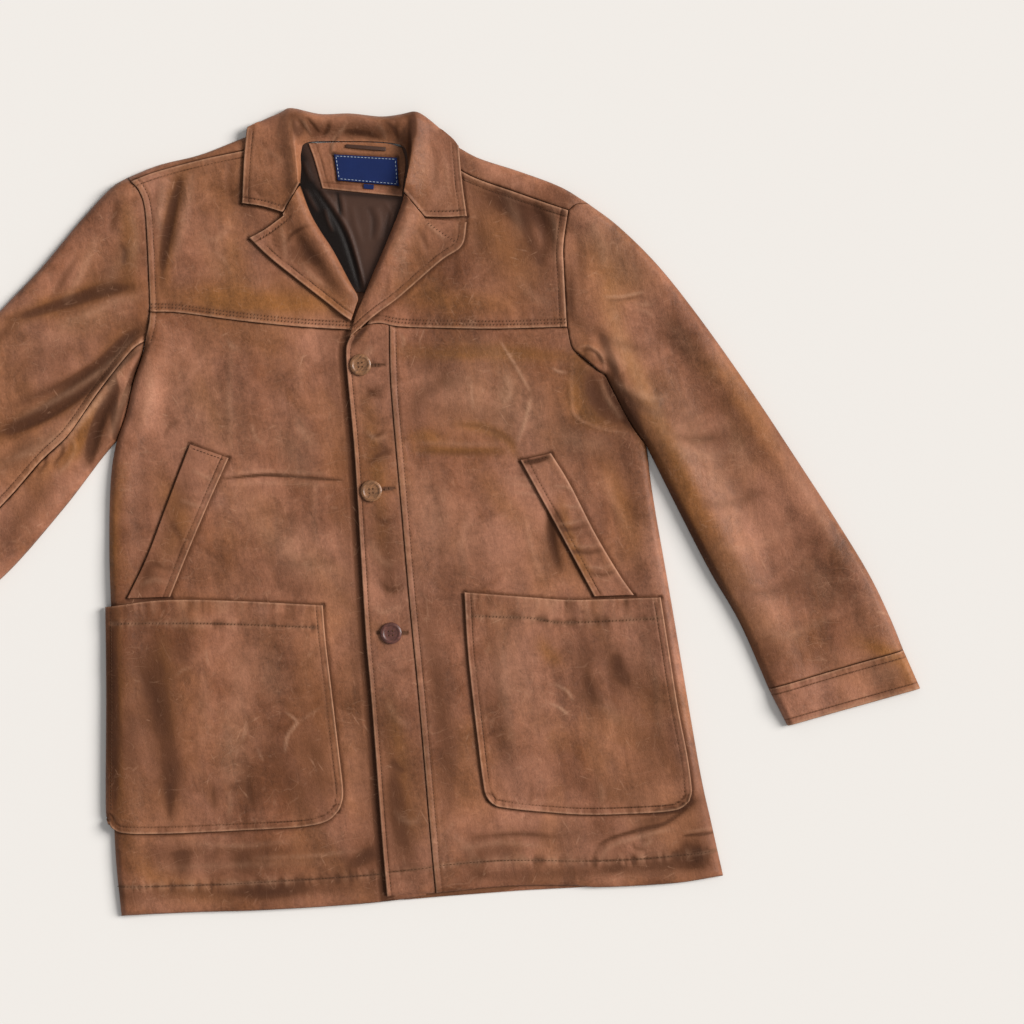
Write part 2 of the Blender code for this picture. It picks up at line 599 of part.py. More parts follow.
def make_sleeve(side, cap, outer, inner, cuff_seam, cuff_end, hind=None):
    """Top and under sleeve with their cuff bands; hind is the hindarm seam where it shows."""
    cap_gap = (ARMHOLE_GAP, SEAM_GAP, 0.0, ARMHOLE_GAP)
    down = stations(0.5, 18, LAID_STEPS)
    across = stations(0.17, 5, ROLL_STEPS, ROLL_STEPS)
    if hind is None:
        plan = patch(cap, cuff_seam, outer, inner, across, down, cap_gap)
        add_sheet(f"sleeve_{side}_top", plan, sleeve(plan), LEATHER, LEATHER_BROWN)
    else:
        reach = length_of(np.vstack([cuff_seam[0], hind[-1]])) / length_of(cuff_seam)
        split = int(reach * (len(cuff_seam) - 1))
        across = stations(0.13, 5, ROLL_STEPS)
        top_end = at(cuff_seam[:split + 1], np.linspace(0, 1, 60))
        plan = patch(cap, top_end, outer, hind, across, down, cap_gap)
        add_sheet(f"sleeve_{side}_top", plan, sleeve(plan), LEATHER, LEATHER_BROWN)
        start = 8
        top = np.vstack([hind[0], inner[start]])
        across = stations(0.05, 2, (0.0,), ROLL_STEPS[:5])
        rest = at(cuff_seam[split:], np.linspace(0, 1, 60))
        gaps = (ARMHOLE_GAP * 2, SEAM_GAP, SEAM_GAP * 2, 0.0)
        plan = patch(top, rest, hind, inner[start:], across, down, gaps)
        add_sheet(f"sleeve_{side}_hind", plan, sleeve(plan), LEATHER, LEATHER_BROWN)
    ends = [np.vstack([cuff_seam[end], cuff_end[end]]) for end in (0, -1)]
    across = stations(0.14, 4, ROLL_STEPS, ROLL_STEPS)
    down = stations(0.04, 3)
    plan = patch(cuff_seam, cuff_end, *ends, across, down, (SEAM_GAP, 0.0, 0.0, 0.0))
    band = Roll(np.vstack(ends[0]), (0.0, 0.0), 0.01), Roll(np.vstack(ends[1]), (0.0, 0.0), 0.01)
    height = levelled(plan, SLEEVE_ROLLS)
    edges = OUTER_ROLLS + INNER_ROLLS + list(band)
    add_sheet(f"cuff_{side}_top", plan, dropped(plan, height, edges), LEATHER, LEATHER_WORN)
    turn = 1 if side == "right" else -1
    under_outer, under_inner = inset(outer, UNDER_INSET * turn), inset(inner, -UNDER_INSET * turn)
    under_cap, under_cuff = np.vstack([under_outer[0], cap[8:-8], under_inner[0]]), cuff_seam
    under_cuff = np.vstack([under_outer[-1], cuff_seam[6:-6], under_inner[-1]])
    across, down = stations(0.17, 4), stations(0.5, 12)
    plan = patch(under_cap, under_cuff, under_outer, under_inner, across, down, cap_gap)
    add_sheet(f"sleeve_{side}_under", plan, np.full(plan.shape[:2], LEATHER), LEATHER, LEATHER_DARK)
    ends = [
        np.vstack([under_cuff[end], inset(np.vstack(ends[slot]), UNDER_INSET * turn * way)[-1]])
        for end, slot, way in ((0, 0, 1), (-1, 1, -1))
    ]
    under_end = np.vstack([ends[0][1], cuff_end[8:-8], ends[1][1]])
    across, down = stations(0.14, 5), stations(0.04, 1)
    plan = patch(under_cuff, under_end, *ends, across, down, (SEAM_GAP, 0.0, 0.0, 0.0))
    add_sheet(f"cuff_{side}_under", plan, np.full(plan.shape[:2], LEATHER), LEATHER, LEATHER_DARK)


def make_sleeves():
    cap = joined(ARMHOLE_TIP_RIGHT, ARMHOLE_YOKE_RIGHT, ARMHOLE_LOW_RIGHT)
    outer = smooth(SLEEVE_RIGHT_OUTER, 240)
    inner = joined(SIDE_RIGHT[:5], SLEEVE_RIGHT_INNER)
    cuff_seam = np.linspace(outer[-1], inner[-1], 121)
    hind = smooth(HIND_SEAM_RIGHT, 240)
    make_sleeve("right", cap, outer, inner, cuff_seam, smooth(CUFF_RIGHT_END), hind)
    cap = joined(ARMHOLE_TIP_LEFT, ARMHOLE_YOKE_LEFT)
    outer = smooth(SLEEVE_LEFT_OUTER, 240)
    inner = joined(ARMHOLE_LOW_LEFT, UNDERARM_LEFT, SLEEVE_LEFT_INNER)
    cuff_seam = np.linspace(outer[-1], inner[-1], 121)
    make_sleeve("left", cap, outer, inner, cuff_seam, smooth(CUFF_LEFT_END[::-1]))


def make_pockets():
    def pocket_right(plan):
        top = levelled(plan, BODY_ROLLS) + LEATHER + LAID_GAP
        edge = [Roll(smooth(POCKET_RIGHT["left"]), (0.0, 0.0), 0.01)]
        return dropped(plan, top, edge, 0.010)

    def laid_left(plan):
        return levelled(plan, BODY_ROLLS) + overlap_lift(plan) + LEATHER + LAID_GAP

    def laid_right(plan):
        return levelled(plan, BODY_ROLLS) + LEATHER + LAID_GAP

    down = even(7, LAID_STEPS)
    across = rolled(6, ROLL_STEPS, LAID_STEPS)
    add_laid("pocket_right", POCKET_RIGHT, across, down, pocket_right, LEATHER, LEATHER_WORN)
    across = even(8, LAID_STEPS)
    add_laid("pocket_left", POCKET_LEFT, across, down, laid_left, LEATHER, LEATHER_WORN)
    add_laid("welt_right", WELT_RIGHT, even(3), even(8), laid_right, LEATHER, LEATHER_WORN)
    add_laid("welt_left", WELT_LEFT, even(3), even(8), laid_left, LEATHER, LEATHER_WORN)


def make_neck():
    lining_top = LEATHER + 0.0004 + SATIN
    facing_top = lining_top + 0.0005 + LEATHER
    label_top = facing_top + SEAM_GAP + SATIN

    def satin(plan):
        middle = smooth([(325, 200), (345, 240), (357, 285)])
        ripple = 0.0009 * np.exp(-((distance(plan, middle)[0] / 0.006) ** 2))
        start = smooth(NECK_FACING["bottom"])[60, 1] - 0.008
        return lining_top + ripple * eased((start - plan[..., 1]) / 0.03)

    def loop(plan):
        ends = np.linspace(0, 1, plan.shape[1])
        return label_top + 0.0025 * np.sin(math.pi * ends)[None] * np.ones(plan.shape[:2])

    add_laid("lining", LINING, even(7), even(9), satin, SATIN, SATIN_BROWN, 0.3)
    add_laid("neck_facing", NECK_FACING, even(6), even(4), flat(facing_top), LEATHER, LEATHER_BROWN)
    add_laid("label", LABEL, even(3), even(2), flat(label_top), SATIN, LABEL_NAVY, 0.6)
    add_laid("size_tab", SIZE_TAB, even(1), even(1), flat(label_top), SATIN, LABEL_NAVY, 0.6)
    add_laid("hanger_loop", HANGER_LOOP, even(8), even(2), loop, SATIN, SATIN_BROWN, 0.4)


def button_profile():
    """Radius and height along half a button, from the middle of its top round to its back."""
    radius = BUTTON_DIAMETER / 2
    return [
        (0, 0.0021), (0.55 * radius, 0.0021), (0.70 * radius, 0.0031), (0.86 * radius, 0.0034),
        (0.97 * radius, 0.0026), (radius, 0.0016), (0.90 * radius, 0.0003), (0, 0),
    ]


def make_buttons():
    cutter_mesh = bpy.data.meshes.new("button_holes")
    bm = bmesh.new()
    for x_side in (-0.5, 0.5):
        for y_side in (-0.5, 0.5):
            made = bmesh.ops.create_cone(
                bm, cap_ends=True, segments=6, radius1=BUTTON_HOLE_RADIUS,
                radius2=BUTTON_HOLE_RADIUS, depth=0.01,
            )
            shift = (x_side * BUTTON_HOLE_SPACING, y_side * BUTTON_HOLE_SPACING, 0)
            bmesh.ops.translate(bm, verts=made["verts"], vec=shift)
    bm.to_mesh(cutter_mesh)
    bm.free()
    for number, spot in enumerate(place(BUTTONS_PX), 1):
        profile = button_profile()
        mesh = bpy.data.meshes.new(f"button_{number}")
        edges = [(index, index + 1) for index in range(len(profile) - 1)]
        mesh.from_pydata([(radius, 0, height) for radius, height in profile], edges, [])
        mesh.materials.append(make_material(f"button_{number}", BUTTON_TAN, 0.35))
        button = bpy.data.objects.new(f"button_{number}", mesh)
        button.location = (*spot, body_left(spot[None])[0] + 0.0004)
        coat.objects.link(button)
        turned = button.modifiers.new("turned", "SCREW")
        turned.steps = turned.render_steps = 16
        turned.use_merge_vertices = True
        turned.merge_threshold = 0.00002
        cutter = bpy.data.objects.new(f"button_{number}_holes", cutter_mesh)
        cutter.location = button.location
        cutter.hide_render = True
        cutter.display_type = "WIRE"
        cutters.objects.link(cutter)
        holes = button.modifiers.new("holes", "BOOLEAN")
        holes.object = cutter
        holes.operation = "DIFFERENCE"


for item in list(bpy.data.objects):
    bpy.data.objects.remove(item, do_unlink=True)
coat = new_collection("leather_coat")
cutters = new_collection("cutters")
make_back()
make_back_yokes()
make_yokes()
make_fronts()
make_placket()
make_pockets()
make_sleeves()
make_neck()
make_collar_and_lapels()
make_buttons()
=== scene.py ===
"""Looks of the worn leather car coat that lies flat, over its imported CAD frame.

The pieces are open leather shells in the plan of the coat, in metres. Outlines, creases
and marks are points in the photograph's frame, which place() brings into the plan.
Left and right are the wearer's.
"""

import math
from collections import namedtuple

import bpy
import numpy as np
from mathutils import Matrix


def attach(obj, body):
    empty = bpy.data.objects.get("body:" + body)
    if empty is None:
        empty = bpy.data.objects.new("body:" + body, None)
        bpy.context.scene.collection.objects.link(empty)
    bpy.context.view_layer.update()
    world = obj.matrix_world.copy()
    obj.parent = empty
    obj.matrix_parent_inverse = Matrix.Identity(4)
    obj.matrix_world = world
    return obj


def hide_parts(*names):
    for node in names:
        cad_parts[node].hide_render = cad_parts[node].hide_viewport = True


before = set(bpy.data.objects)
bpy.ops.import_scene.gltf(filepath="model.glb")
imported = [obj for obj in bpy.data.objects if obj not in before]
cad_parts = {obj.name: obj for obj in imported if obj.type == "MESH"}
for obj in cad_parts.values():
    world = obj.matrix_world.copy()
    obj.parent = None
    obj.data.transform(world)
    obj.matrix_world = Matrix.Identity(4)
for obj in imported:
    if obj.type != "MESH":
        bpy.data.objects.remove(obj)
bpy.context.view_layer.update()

# Driving dimensions, in metres
CHEST_WIDTH = 0.570
LEATHER = 0.0015
TWO_LAYERS = 0.0024
SATIN = 0.0010
SEAM_GAP = 0.0003
LAID_GAP = 0.0007
LINING_GAP = 0.0004
FACING_GAP = 0.0005
LINING_LIFT = 0.0012
LOWEST_UNDERSIDE = 0.0001
FLAT_HEIGHT = 0.0068
LOWEST_TOP = 0.0038
FLOOR_RIM = 0.0006
FLOOR_HEIGHT = -0.0004
COLLAR_RIM = 0.0022
EDGE_RADIUS = 0.008
REVERS_RADIUS = 0.007
BACK_HEM_TOP = 0.0019
OVERLAP_LIFT = 0.0023
OVERLAP_FADE = 0.040
COLLAR_FOLD_HEIGHT = 0.009
COLLAR_FOLD_REACH = 0.013
NECK_SEAM_HEIGHT = 0.0056
LAPEL_FOLD_HEIGHT = 0.005
LAPEL_CROWN_AT = 0.010
LAPEL_CROWN_REACH = 0.012
LAPEL_RIM = 0.0048
LAPEL_DROP = 0.0006
HEM_TOP = 0.0034
HEM_RADIUS = 0.007
NOTCH_GAP = 0.0012
BUTTON_DIAMETER = 0.023
BUTTON_GAP = 0.0004
LOOP_RISE = 0.0015
GRID = 0.0020
COLLAR_GRID = 0.0016
NECK_GRID = 0.0015
LABEL_GRID = 0.0010
MM = 0.001

# The frame of the photograph
CHEST_WIDTH_PX = 537
COAT_TURN = math.radians(4)
ORIGIN_PX = (315.35, 507.88)
METRES_PER_PX = CHEST_WIDTH / CHEST_WIDTH_PX
PHOTO_SIZE_PX = 1024
CAMERA_DISTANCE = 3.0
KEY_ELEVATION = math.radians(33)
KEY_AZIMUTH = math.radians(12)

NECK_POINT_RIGHT = (256, 133)
NECK_POINT_LEFT = (448, 141)
SHOULDER_TIP_RIGHT = (127, 177)
SHOULDER_TIP_LEFT = (587, 202)
SHOULDER_RIGHT = [NECK_POINT_RIGHT, (241, 138), (200, 154), (160, 164), SHOULDER_TIP_RIGHT]
SHOULDER_LEFT = [NECK_POINT_LEFT, (459, 147), (480, 158), (520, 171), (560, 186), SHOULDER_TIP_LEFT]
FORWARD_SEAM_RIGHT = [(131.5, 182), (160, 171), (200, 160), (241, 151), (256, 147)]
FORWARD_SEAM_LEFT = [(448, 160), (460, 170), (480, 180), (520, 194), (568, 211)]
ARMHOLE_TIP_RIGHT = [SHOULDER_TIP_RIGHT, (131.5, 182)]
ARMHOLE_TIP_LEFT = [SHOULDER_TIP_LEFT, (576, 204.5), (568, 211)]
ARMHOLE_YOKE_RIGHT = [(131.5, 182), (140, 192), (145, 210), (148, 260), (150, 312)]
ARMHOLE_YOKE_LEFT = [(568, 211), (563.5, 245), (564, 270), (567, 327)]
ARMPIT_RIGHT = (145, 340)
ARMPIT_LEFT = (605, 376)
ARMHOLE_LOW_RIGHT = [(150, 312), (149, 325), ARMPIT_RIGHT]
ARMHOLE_LOW_LEFT = [(567, 327), (572, 347), (587, 361), ARMPIT_LEFT]
SIDE_RIGHT = [
    ARMPIT_RIGHT, (140.5, 358), (133, 380), (125, 415), (116, 441), (110, 480),
    (108.5, 550), (111, 640), (113.6, 830), (120.7, 916.4),
]
UNDERARM_LEFT = [ARMPIT_LEFT, (620, 405), (634, 430), (647, 447)]
SIDE_LEFT = [(647, 447), (654, 501), (672.6, 608), (699, 764), (711.4, 822), (723.5, 876)]
YOKE_SEAM_RIGHT = [(150, 312), (180, 313), (240, 321), (300, 327), (355, 330.2)]
YOKE_SEAM_LEFT = [(367, 325), (380, 323.5), (400, 327), (450, 328.5), (500, 329), (567, 327)]
YOKE_INNER_RIGHT = [(256, 147), (272, 185), (292, 222), (316, 256), (336, 285), (349, 308), (355, 330.2)]
YOKE_INNER_LEFT = [(448, 160), (432, 190), (416, 215), (403, 240), (389, 268), (376, 295), (367, 325)]
BACK_HEM = {
    "top": [(404, 890), (455, 884), (519, 882)],
    "bottom": [(404, 900.5), (455, 896), (500, 892), (519, 887.5)],
    "left": [(404, 890), (404, 900.5)],
    "right": [(519, 882), (519, 887.5)],
}
UNDERLAP_EDGE = [(382, 331), (426, 896)]
FRONT_EDGE = [
    (350, 337), (346.5, 345), (346, 358), (348, 384), (354.5, 454), (361, 560),
    (366, 640), (371.3, 700), (382, 840), (387, 897),
]
PLACKET_TOP = [(350, 337), (358, 330.5), (367, 325), (380, 323.7), (389.6, 325.3)]
PLACKET_SEAM = [
    (389.6, 325.3), (390.3, 370), (393, 412), (401.6, 510), (409, 596), (419, 700),
    (431, 840), (436, 893.6),
]
HEM_RIGHT = [(120.7, 916.4), (184, 913), (255, 911), (326, 907), (385, 902), (426, 896)]
HEM_LEFT = [(436, 893.6), (505, 887), (568, 886), (602, 887.7), (675, 883.6), (723.5, 876)]
SLEEVE_RIGHT_OUTER = [
    SHOULDER_TIP_RIGHT, (110, 188), (80, 220), (40, 268), (0, 310), (-90, 409),
    (-180, 513), (-243, 587),
]
SLEEVE_RIGHT_INNER = [(116, 441), (100, 460), (60, 512), (0, 579), (-60, 620), (-139, 682)]
HIND_SEAM_RIGHT = [
    (144.5, 341), (130, 352), (100, 390), (70, 433), (40, 462), (0, 507), (-80, 582), (-165, 658),
]
CUFF_RIGHT_END = [(-270, 617), (-170, 708)]
SLEEVE_LEFT_OUTER = [
    SHOULDER_TIP_LEFT, (620, 227), (660, 267), (704, 323), (754, 394), (797, 459),
    (836, 519), (869, 573), (890, 616), (904, 650),
]
SLEEVE_LEFT_INNER = [(647, 447), (683, 519), (711, 573), (740, 623), (769, 689)]
CUFF_LEFT_END = [(788, 726), (921, 688.5)]
COLLAR_TIP_RIGHT = (242, 204)
COLLAR_TIP_LEFT = (467, 217)
COLLAR_FOOT_RIGHT = [COLLAR_TIP_RIGHT, (262, 207), (283, 213)]
COLLAR_FOOT_LEFT = [COLLAR_TIP_LEFT, (445, 218), (425, 217.5)]
GORGE_RIGHT = [(283, 213), (300, 185)]
GORGE_LEFT = [(404, 193), (425, 217.5)]
COLLAR_CORNER_RIGHT = (247, 128)
COLLAR_CORNER_LEFT = (459, 147)
COLLAR_TOP = [
    COLLAR_CORNER_RIGHT, (260, 121), (280, 112), (291, 107.5), (320, 113.5), (350, 113),
    (380, 116), (400, 114), (414, 111), (424, 115), (440, 128), (453, 139), COLLAR_CORNER_LEFT,
]
COLLAR_TOP_ROLL = COLLAR_TOP[1:-2]
COLLAR_LEAF_RIGHT = [COLLAR_TIP_RIGHT, (244, 160), COLLAR_CORNER_RIGHT]
COLLAR_LEAF_LEFT = [COLLAR_CORNER_LEFT, (462, 180), COLLAR_TIP_LEFT]
COLLAR_SEAM = [
    (300, 185), (301, 168), (301, 152), (308, 142), (345, 141), (385, 142),
    (404, 147), (408, 163), (407, 178), (404, 193),
]
COLLAR_FOLD = [
    (299, 183), (297, 160), (294, 140), (293, 124), (299, 117), (320, 121), (350, 121),
    (380, 124), (400, 121), (411, 121), (413, 135), (411, 158), (406, 183),
]
LAPEL_TIP_RIGHT = (249, 238)
LAPEL_TOP_RIGHT = [LAPEL_TIP_RIGHT, (265, 229), (284, 215)]
LAPEL_LOW_RIGHT = [LAPEL_TIP_RIGHT, (270, 258), (300, 282), (327, 303), (340, 313.5), (351, 321)]
LAPEL_ROLL_RIGHT = [
    (300, 185), (310, 212), (320, 230), (333, 250), (350, 282), (358, 297), (356, 306), (351, 321),
]
LAPEL_TIP_LEFT = (467, 222)
LAPEL_TOP_LEFT = [LAPEL_TIP_LEFT, (425, 218.5)]
LAPEL_LOW_LEFT = [
    LAPEL_TIP_LEFT, (462, 246), (440, 262), (400, 297), (380, 312), (370, 320), (360, 329), (350, 338),
]
LAPEL_ROLL_LEFT = [
    (404, 193), (400, 208), (385, 245), (370, 280), (362, 301), (357, 312), (353, 325), (350, 338),
]
LAPEL_BAR_TACK = [(427, 223), (441, 232.5), (456, 242)]
APEX = [(360, 278), (360, 296)]

POCKET_RIGHT = {
    "top": [(104.6, 607), (161, 600), (232, 600.5), (323, 605)],
    "bottom": [
        (107.5, 820), (113, 828.5), (125, 833), (161, 834), (232, 831), (291, 828), (312, 825.5),
        (324, 822.5), (332, 818), (338.5, 810.8),
    ],
    "left": [(104.6, 607), (105.5, 700), (105, 805), (107.5, 820)],
    "right": [
        (323, 605), (326, 641), (333, 700), (340, 759), (343, 785), (343.2, 797), (341, 806), (338.5, 810.8),
    ],
    "stitch": [(112, 623.5), (208, 623.5), (317, 627.5)],
}
POCKET_LEFT = {
    "top": [(464, 592), (530, 597), (566, 599.5), (602, 599), (660.5, 597)],
    "bottom": [
        (488.5, 800), (494, 805), (505, 808), (542, 812), (590, 815), (651, 813), (672, 811),
        (682, 807.5), (689, 801),
    ],
    "left": [(464, 592), (468, 657), (479, 754), (483, 784), (485, 794), (488.5, 800)],
    "right": [(660.5, 597), (668, 645), (677.5, 705), (687, 754), (691, 782), (691.5, 793), (689, 801)],
    "stitch": [(469, 616), (530, 618), (566, 622.5), (661, 618)],
}
WELT_RIGHT = {
    "top": [(190, 444), (229, 458)],
    "bottom": [(127.6, 598.5), (170.4, 597)],
    "left": [(190, 444), (167, 504), (147, 557), (127.6, 598.5)],
    "right": [(229, 458), (209, 503), (190, 548), (170.4, 597)],
}
WELT_LEFT = {
    "top": [(520, 460), (551, 453)],
    "bottom": [(594, 596.5), (634, 595)],
    "left": [(520, 460), (539.6, 496), (560, 533), (594, 596.5)],
    "right": [(551, 453), (570, 484), (595, 533), (619, 573.5), (634, 595)],
}
NECK_FACING = {
    "top": [(308, 143.2), (345, 141.9), (385, 142.9), (402, 147.6)],
    "bottom": [(322, 188.5), (345, 191), (375, 194), (402, 196.5)],
    "left": [(308, 143.2), (314, 160), (322, 188.5)],
    "right": [(402, 147.6), (405.5, 163), (402, 196.5)],
}
COLLAR_FALL = {
    "top": [(262, 127), (291, 114), (350, 119), (408, 118), (420, 122), (438, 135)],
    "bottom": [(262, 131), (300, 140), (350, 142), (400, 141), (438, 138)],
    "left": [(262, 127), (262, 131)],
    "right": [(438, 135), (438, 138)],
}
LINING = {
    "top": [(296, 141), (350, 145), (412, 146)],
    "bottom": [(346, 292), (369, 292)],
    "left": [(296, 141), (294, 190), (318, 245), (346, 292)],
    "right": [(412, 146), (409, 195), (391, 242), (369, 292)],
}
LABEL = {
    "top": [(333.6, 154), (397, 157.5)],
    "bottom": [(337.3, 180.4), (399, 186)],
    "left": [(333.6, 154), (337.3, 180.4)],
    "right": [(397, 157.5), (399, 186)],
}
SIZE_TAB = {
    "top": [(363.4, 183.6), (374, 184.6)],
    "bottom": [(363.6, 188.6), (373.6, 189.4)],
    "left": [(363.4, 183.6), (363.6, 188.6)],
    "right": [(374, 184.6), (373.6, 189.4)],
}
HANGER_LOOP = {
    "top": [(346, 144), (366, 145.5), (386, 147)],
    "bottom": [(345, 147.5), (366, 149.5), (386, 151)],
    "left": [(346, 144), (345, 147.5)],
    "right": [(386, 147), (386, 151)],
}
BUTTONS_PX = [(360.6, 365), (371.5, 491), (391.2, 633)]

Roll = namedtuple("Roll", "line heights reach")
Crease = namedtuple("Crease", "line height width")
Edge = namedtuple("Edge", "line profile pucker")
Skin = namedtuple("Skin", "base edges creases")


def creases(*rows):
    """Creases from rows: height, half width, then the photo points of the line one after another."""
    return [Crease(list(zip(row[2::2], row[3::2])), *row[:2]) for row in rows]


def place(points):
    """Photo points in the coat's own plan, in metres."""
    shift = (np.asarray(points, float) - ORIGIN_PX) * METRES_PER_PX
    east, north = shift[:, 0], -shift[:, 1]
    cosine, sine = math.cos(COAT_TURN), math.sin(COAT_TURN)
    return np.column_stack([east * cosine + north * sine, north * cosine - east * sine])


def at(line, fractions):
    """Points of a line at the given fractions of its length."""
    steps = np.hypot(*np.diff(line, axis=0).T)
    length = np.concatenate([[0.0], np.cumsum(steps)])
    where = np.asarray(fractions) * length[-1]
    return np.column_stack([np.interp(where, length, line[:, axis]) for axis in (0, 1)])


def smooth(points, samples=120):
    """A smooth line in plan through photo points, with even spacing."""
    knots = place(points)
    if len(knots) == 2:
        return at(knots, np.linspace(0, 1, samples))
    ends = np.vstack([2 * knots[0] - knots[1], knots, 2 * knots[-1] - knots[-2]])
    run = []
    for before, start, end, after in zip(ends, ends[1:], ends[2:], ends[3:]):
        for step in np.linspace(0, 1, 16, endpoint=False):
            bend = (2 * before - 5 * start + 4 * end - after) * step**2
            twist = (3 * start - before - 3 * end + after) * step**3
            run.append(start + 0.5 * ((end - before) * step + bend + twist))
    run.append(knots[-1])
    return at(np.array(run), np.linspace(0, 1, samples))


def joined(*runs):
    """One line from several, for an edge with corners in it."""
    parts = [smooth(run) for run in runs]
    return at(np.vstack(parts), np.linspace(0, 1, 240))


def length_of(line):
    return np.hypot(*np.diff(line, axis=0).T).sum()


def inset(line, amount):
    """The line moved sideways, to its left as it runs."""
    run = np.gradient(line, axis=0)
    side = np.column_stack([-run[:, 1], run[:, 0]]) / np.hypot(*run.T)[:, None]
    return line + amount * side


EDGE_STEPS = np.array([0.0, 0.5, 1.1, 1.8, 2.7, 3.7, 4.8, 6.0, 7.3, 8.7]) * MM


def stations(length, spacing=GRID):
    """Fractions along a piece: close together near its edges, then even."""
    near = EDGE_STEPS[EDGE_STEPS < 0.4 * length] / length
    count = max(1, round((1 - 2 * near[-1]) * length / spacing))
    return np.concatenate([near[:-1], np.linspace(near[-1], 1 - near[-1], count + 1), 1 - near[-2::-1]])


def patch(top, bottom, left, right, gaps=(SEAM_GAP,) * 4, fade=1, spacing=GRID):
    """Plan points of a four-sided piece, cut back by half a seam's gap all round.

    The shape of each side fades with distance from it, faster with a higher fade.
    """
    width = 0.5 * (length_of(top) + length_of(bottom))
    height = 0.5 * (length_of(left) + length_of(right))
    gap_top, gap_bottom, gap_left, gap_right = gaps
    low, high = 0.5 * gap_left / width, 1 - 0.5 * gap_right / width
    u = low + (high - low) * stations(width, spacing)
    low, high = 0.5 * gap_top / height, 1 - 0.5 * gap_bottom / height
    v = low + (high - low) * stations(height, spacing)
    u_grid, v_grid = (grid[..., None] for grid in np.meshgrid(u, v))
    plan = (1 - v_grid) * at(top, u)[None] + v_grid * at(bottom, u)[None]
    left_bow = at(left, v)[:, None] - (1 - v_grid) * top[0] - v_grid * bottom[0]
    right_bow = at(right, v)[:, None] - (1 - v_grid) * top[-1] - v_grid * bottom[-1]
    return plan + (1 - u_grid) ** fade * left_bow + u_grid**fade * right_bow


def distance(plan, line):
    """Way from each plan point to a line, and the fraction along it where it meets."""
    points = plan.reshape(-1, 2)
    nearest = ((line**2).sum(1) - 2 * points @ line.T).argmin(1)
    gap, along = np.full(len(points), np.inf), np.zeros(len(points))
    for start in (np.maximum(nearest - 1, 0), np.minimum(nearest, len(line) - 2)):
        run, offset = line[start + 1] - line[start], points - line[start]
        part = np.clip((offset * run).sum(1) / np.maximum((run**2).sum(1), 1e-12), 0, 1)
        way = np.hypot(*(offset - part[:, None] * run).T)
        closer = way < gap
        gap[closer], along[closer] = way[closer], (start + part)[closer] / (len(line) - 1)
    return gap.reshape(plan.shape[:-1]), along.reshape(plan.shape[:-1])


def near(plan, line, reach):
    """Distance to a line within its reach; everything further away is at infinity."""
    inside = ((plan > line.min(0) - reach) & (plan < line.max(0) + reach)).all(-1)
    gap, along = np.full(plan.shape[:-1], np.inf), np.zeros(plan.shape[:-1])
    if inside.any():
        gap[inside], along[inside] = distance(plan[inside], line)
    return gap, along


def rounded(gap, radius):
    """Quarter round, from 0 on a folded edge to 1 one radius in."""
    inside = np.clip(gap / radius, 0, 1)
    return np.sqrt(1 - (1 - inside) ** 2)


def eased(value):
    value = np.clip(value, 0, 1)
    return value * value * (3 - 2 * value)


def within(plan, ring):
    """True for the plan points inside a closed ring."""
    inside = np.zeros(plan.shape[:-1], bool)
    x, y = plan[..., 0], plan[..., 1]
    for (x0, y0), (x1, y1) in zip(ring, np.roll(ring, -1, axis=0)):
        crosses = (y0 > y) != (y1 > y)
        rise = y1 - y0 if y1 != y0 else 1.0
        inside ^= crosses & (x < x0 + (x1 - x0) * (y - y0) / rise)
    return inside


def lumps(plan, size, seed, stretch=(1.0, 1.0)):
    """Seeded smooth noise between -1 and 1 over the plan, with lumps of one size."""
    table = np.random.default_rng(seed).uniform(-1, 1, (64, 64))
    x, y = (plan[..., axis] / (size * stretch[axis]) + 900.0 for axis in (0, 1))
    column, row = np.floor(x).astype(int), np.floor(y).astype(int)
    u, v = eased(x - column), eased(y - row)
    corner = [[table[(row + down) % 64, (column + over) % 64] for over in (0, 1)] for down in (0, 1)]
    upper = corner[0][0] * (1 - u) + corner[0][1] * u
    lower = corner[1][0] * (1 - u) + corner[1][1] * u
    return upper * (1 - v) + lower * v


SHOULDER_ROLLS = [
    Roll(smooth(SHOULDER_RIGHT), (0.0, 0.003, 0.004), 0.016),
    Roll(smooth(SHOULDER_LEFT), (0.0, 0.003, 0.004), 0.016),
]
OUTER_ROLLS = [
    Roll(smooth(SLEEVE_RIGHT_OUTER), (0.004, 0.006, 0.006), 0.018),
    Roll(smooth(SLEEVE_LEFT_OUTER), (0.004, 0.007, 0.005), 0.018),
]
SIDE_ROLLS = [
    Roll(smooth(SIDE_RIGHT), (0.004, 0.005, 0.003), 0.015),
    Roll(smooth(SIDE_LEFT), (0.002, 0.004, 0.003), 0.015),
]
INNER_ROLLS = [
    Roll(joined(SIDE_RIGHT[:5], SLEEVE_RIGHT_INNER), (0.001, 0.003, 0.006, 0.006), 0.016),
    Roll(joined(UNDERARM_LEFT, SLEEVE_LEFT_INNER), (0.003, 0.012, 0.010, 0.008, 0.005), 0.024),
]
BODY_ROLLS = SHOULDER_ROLLS + OUTER_ROLLS + SIDE_ROLLS
SLEEVE_ROLLS = SHOULDER_ROLLS + OUTER_ROLLS + INNER_ROLLS

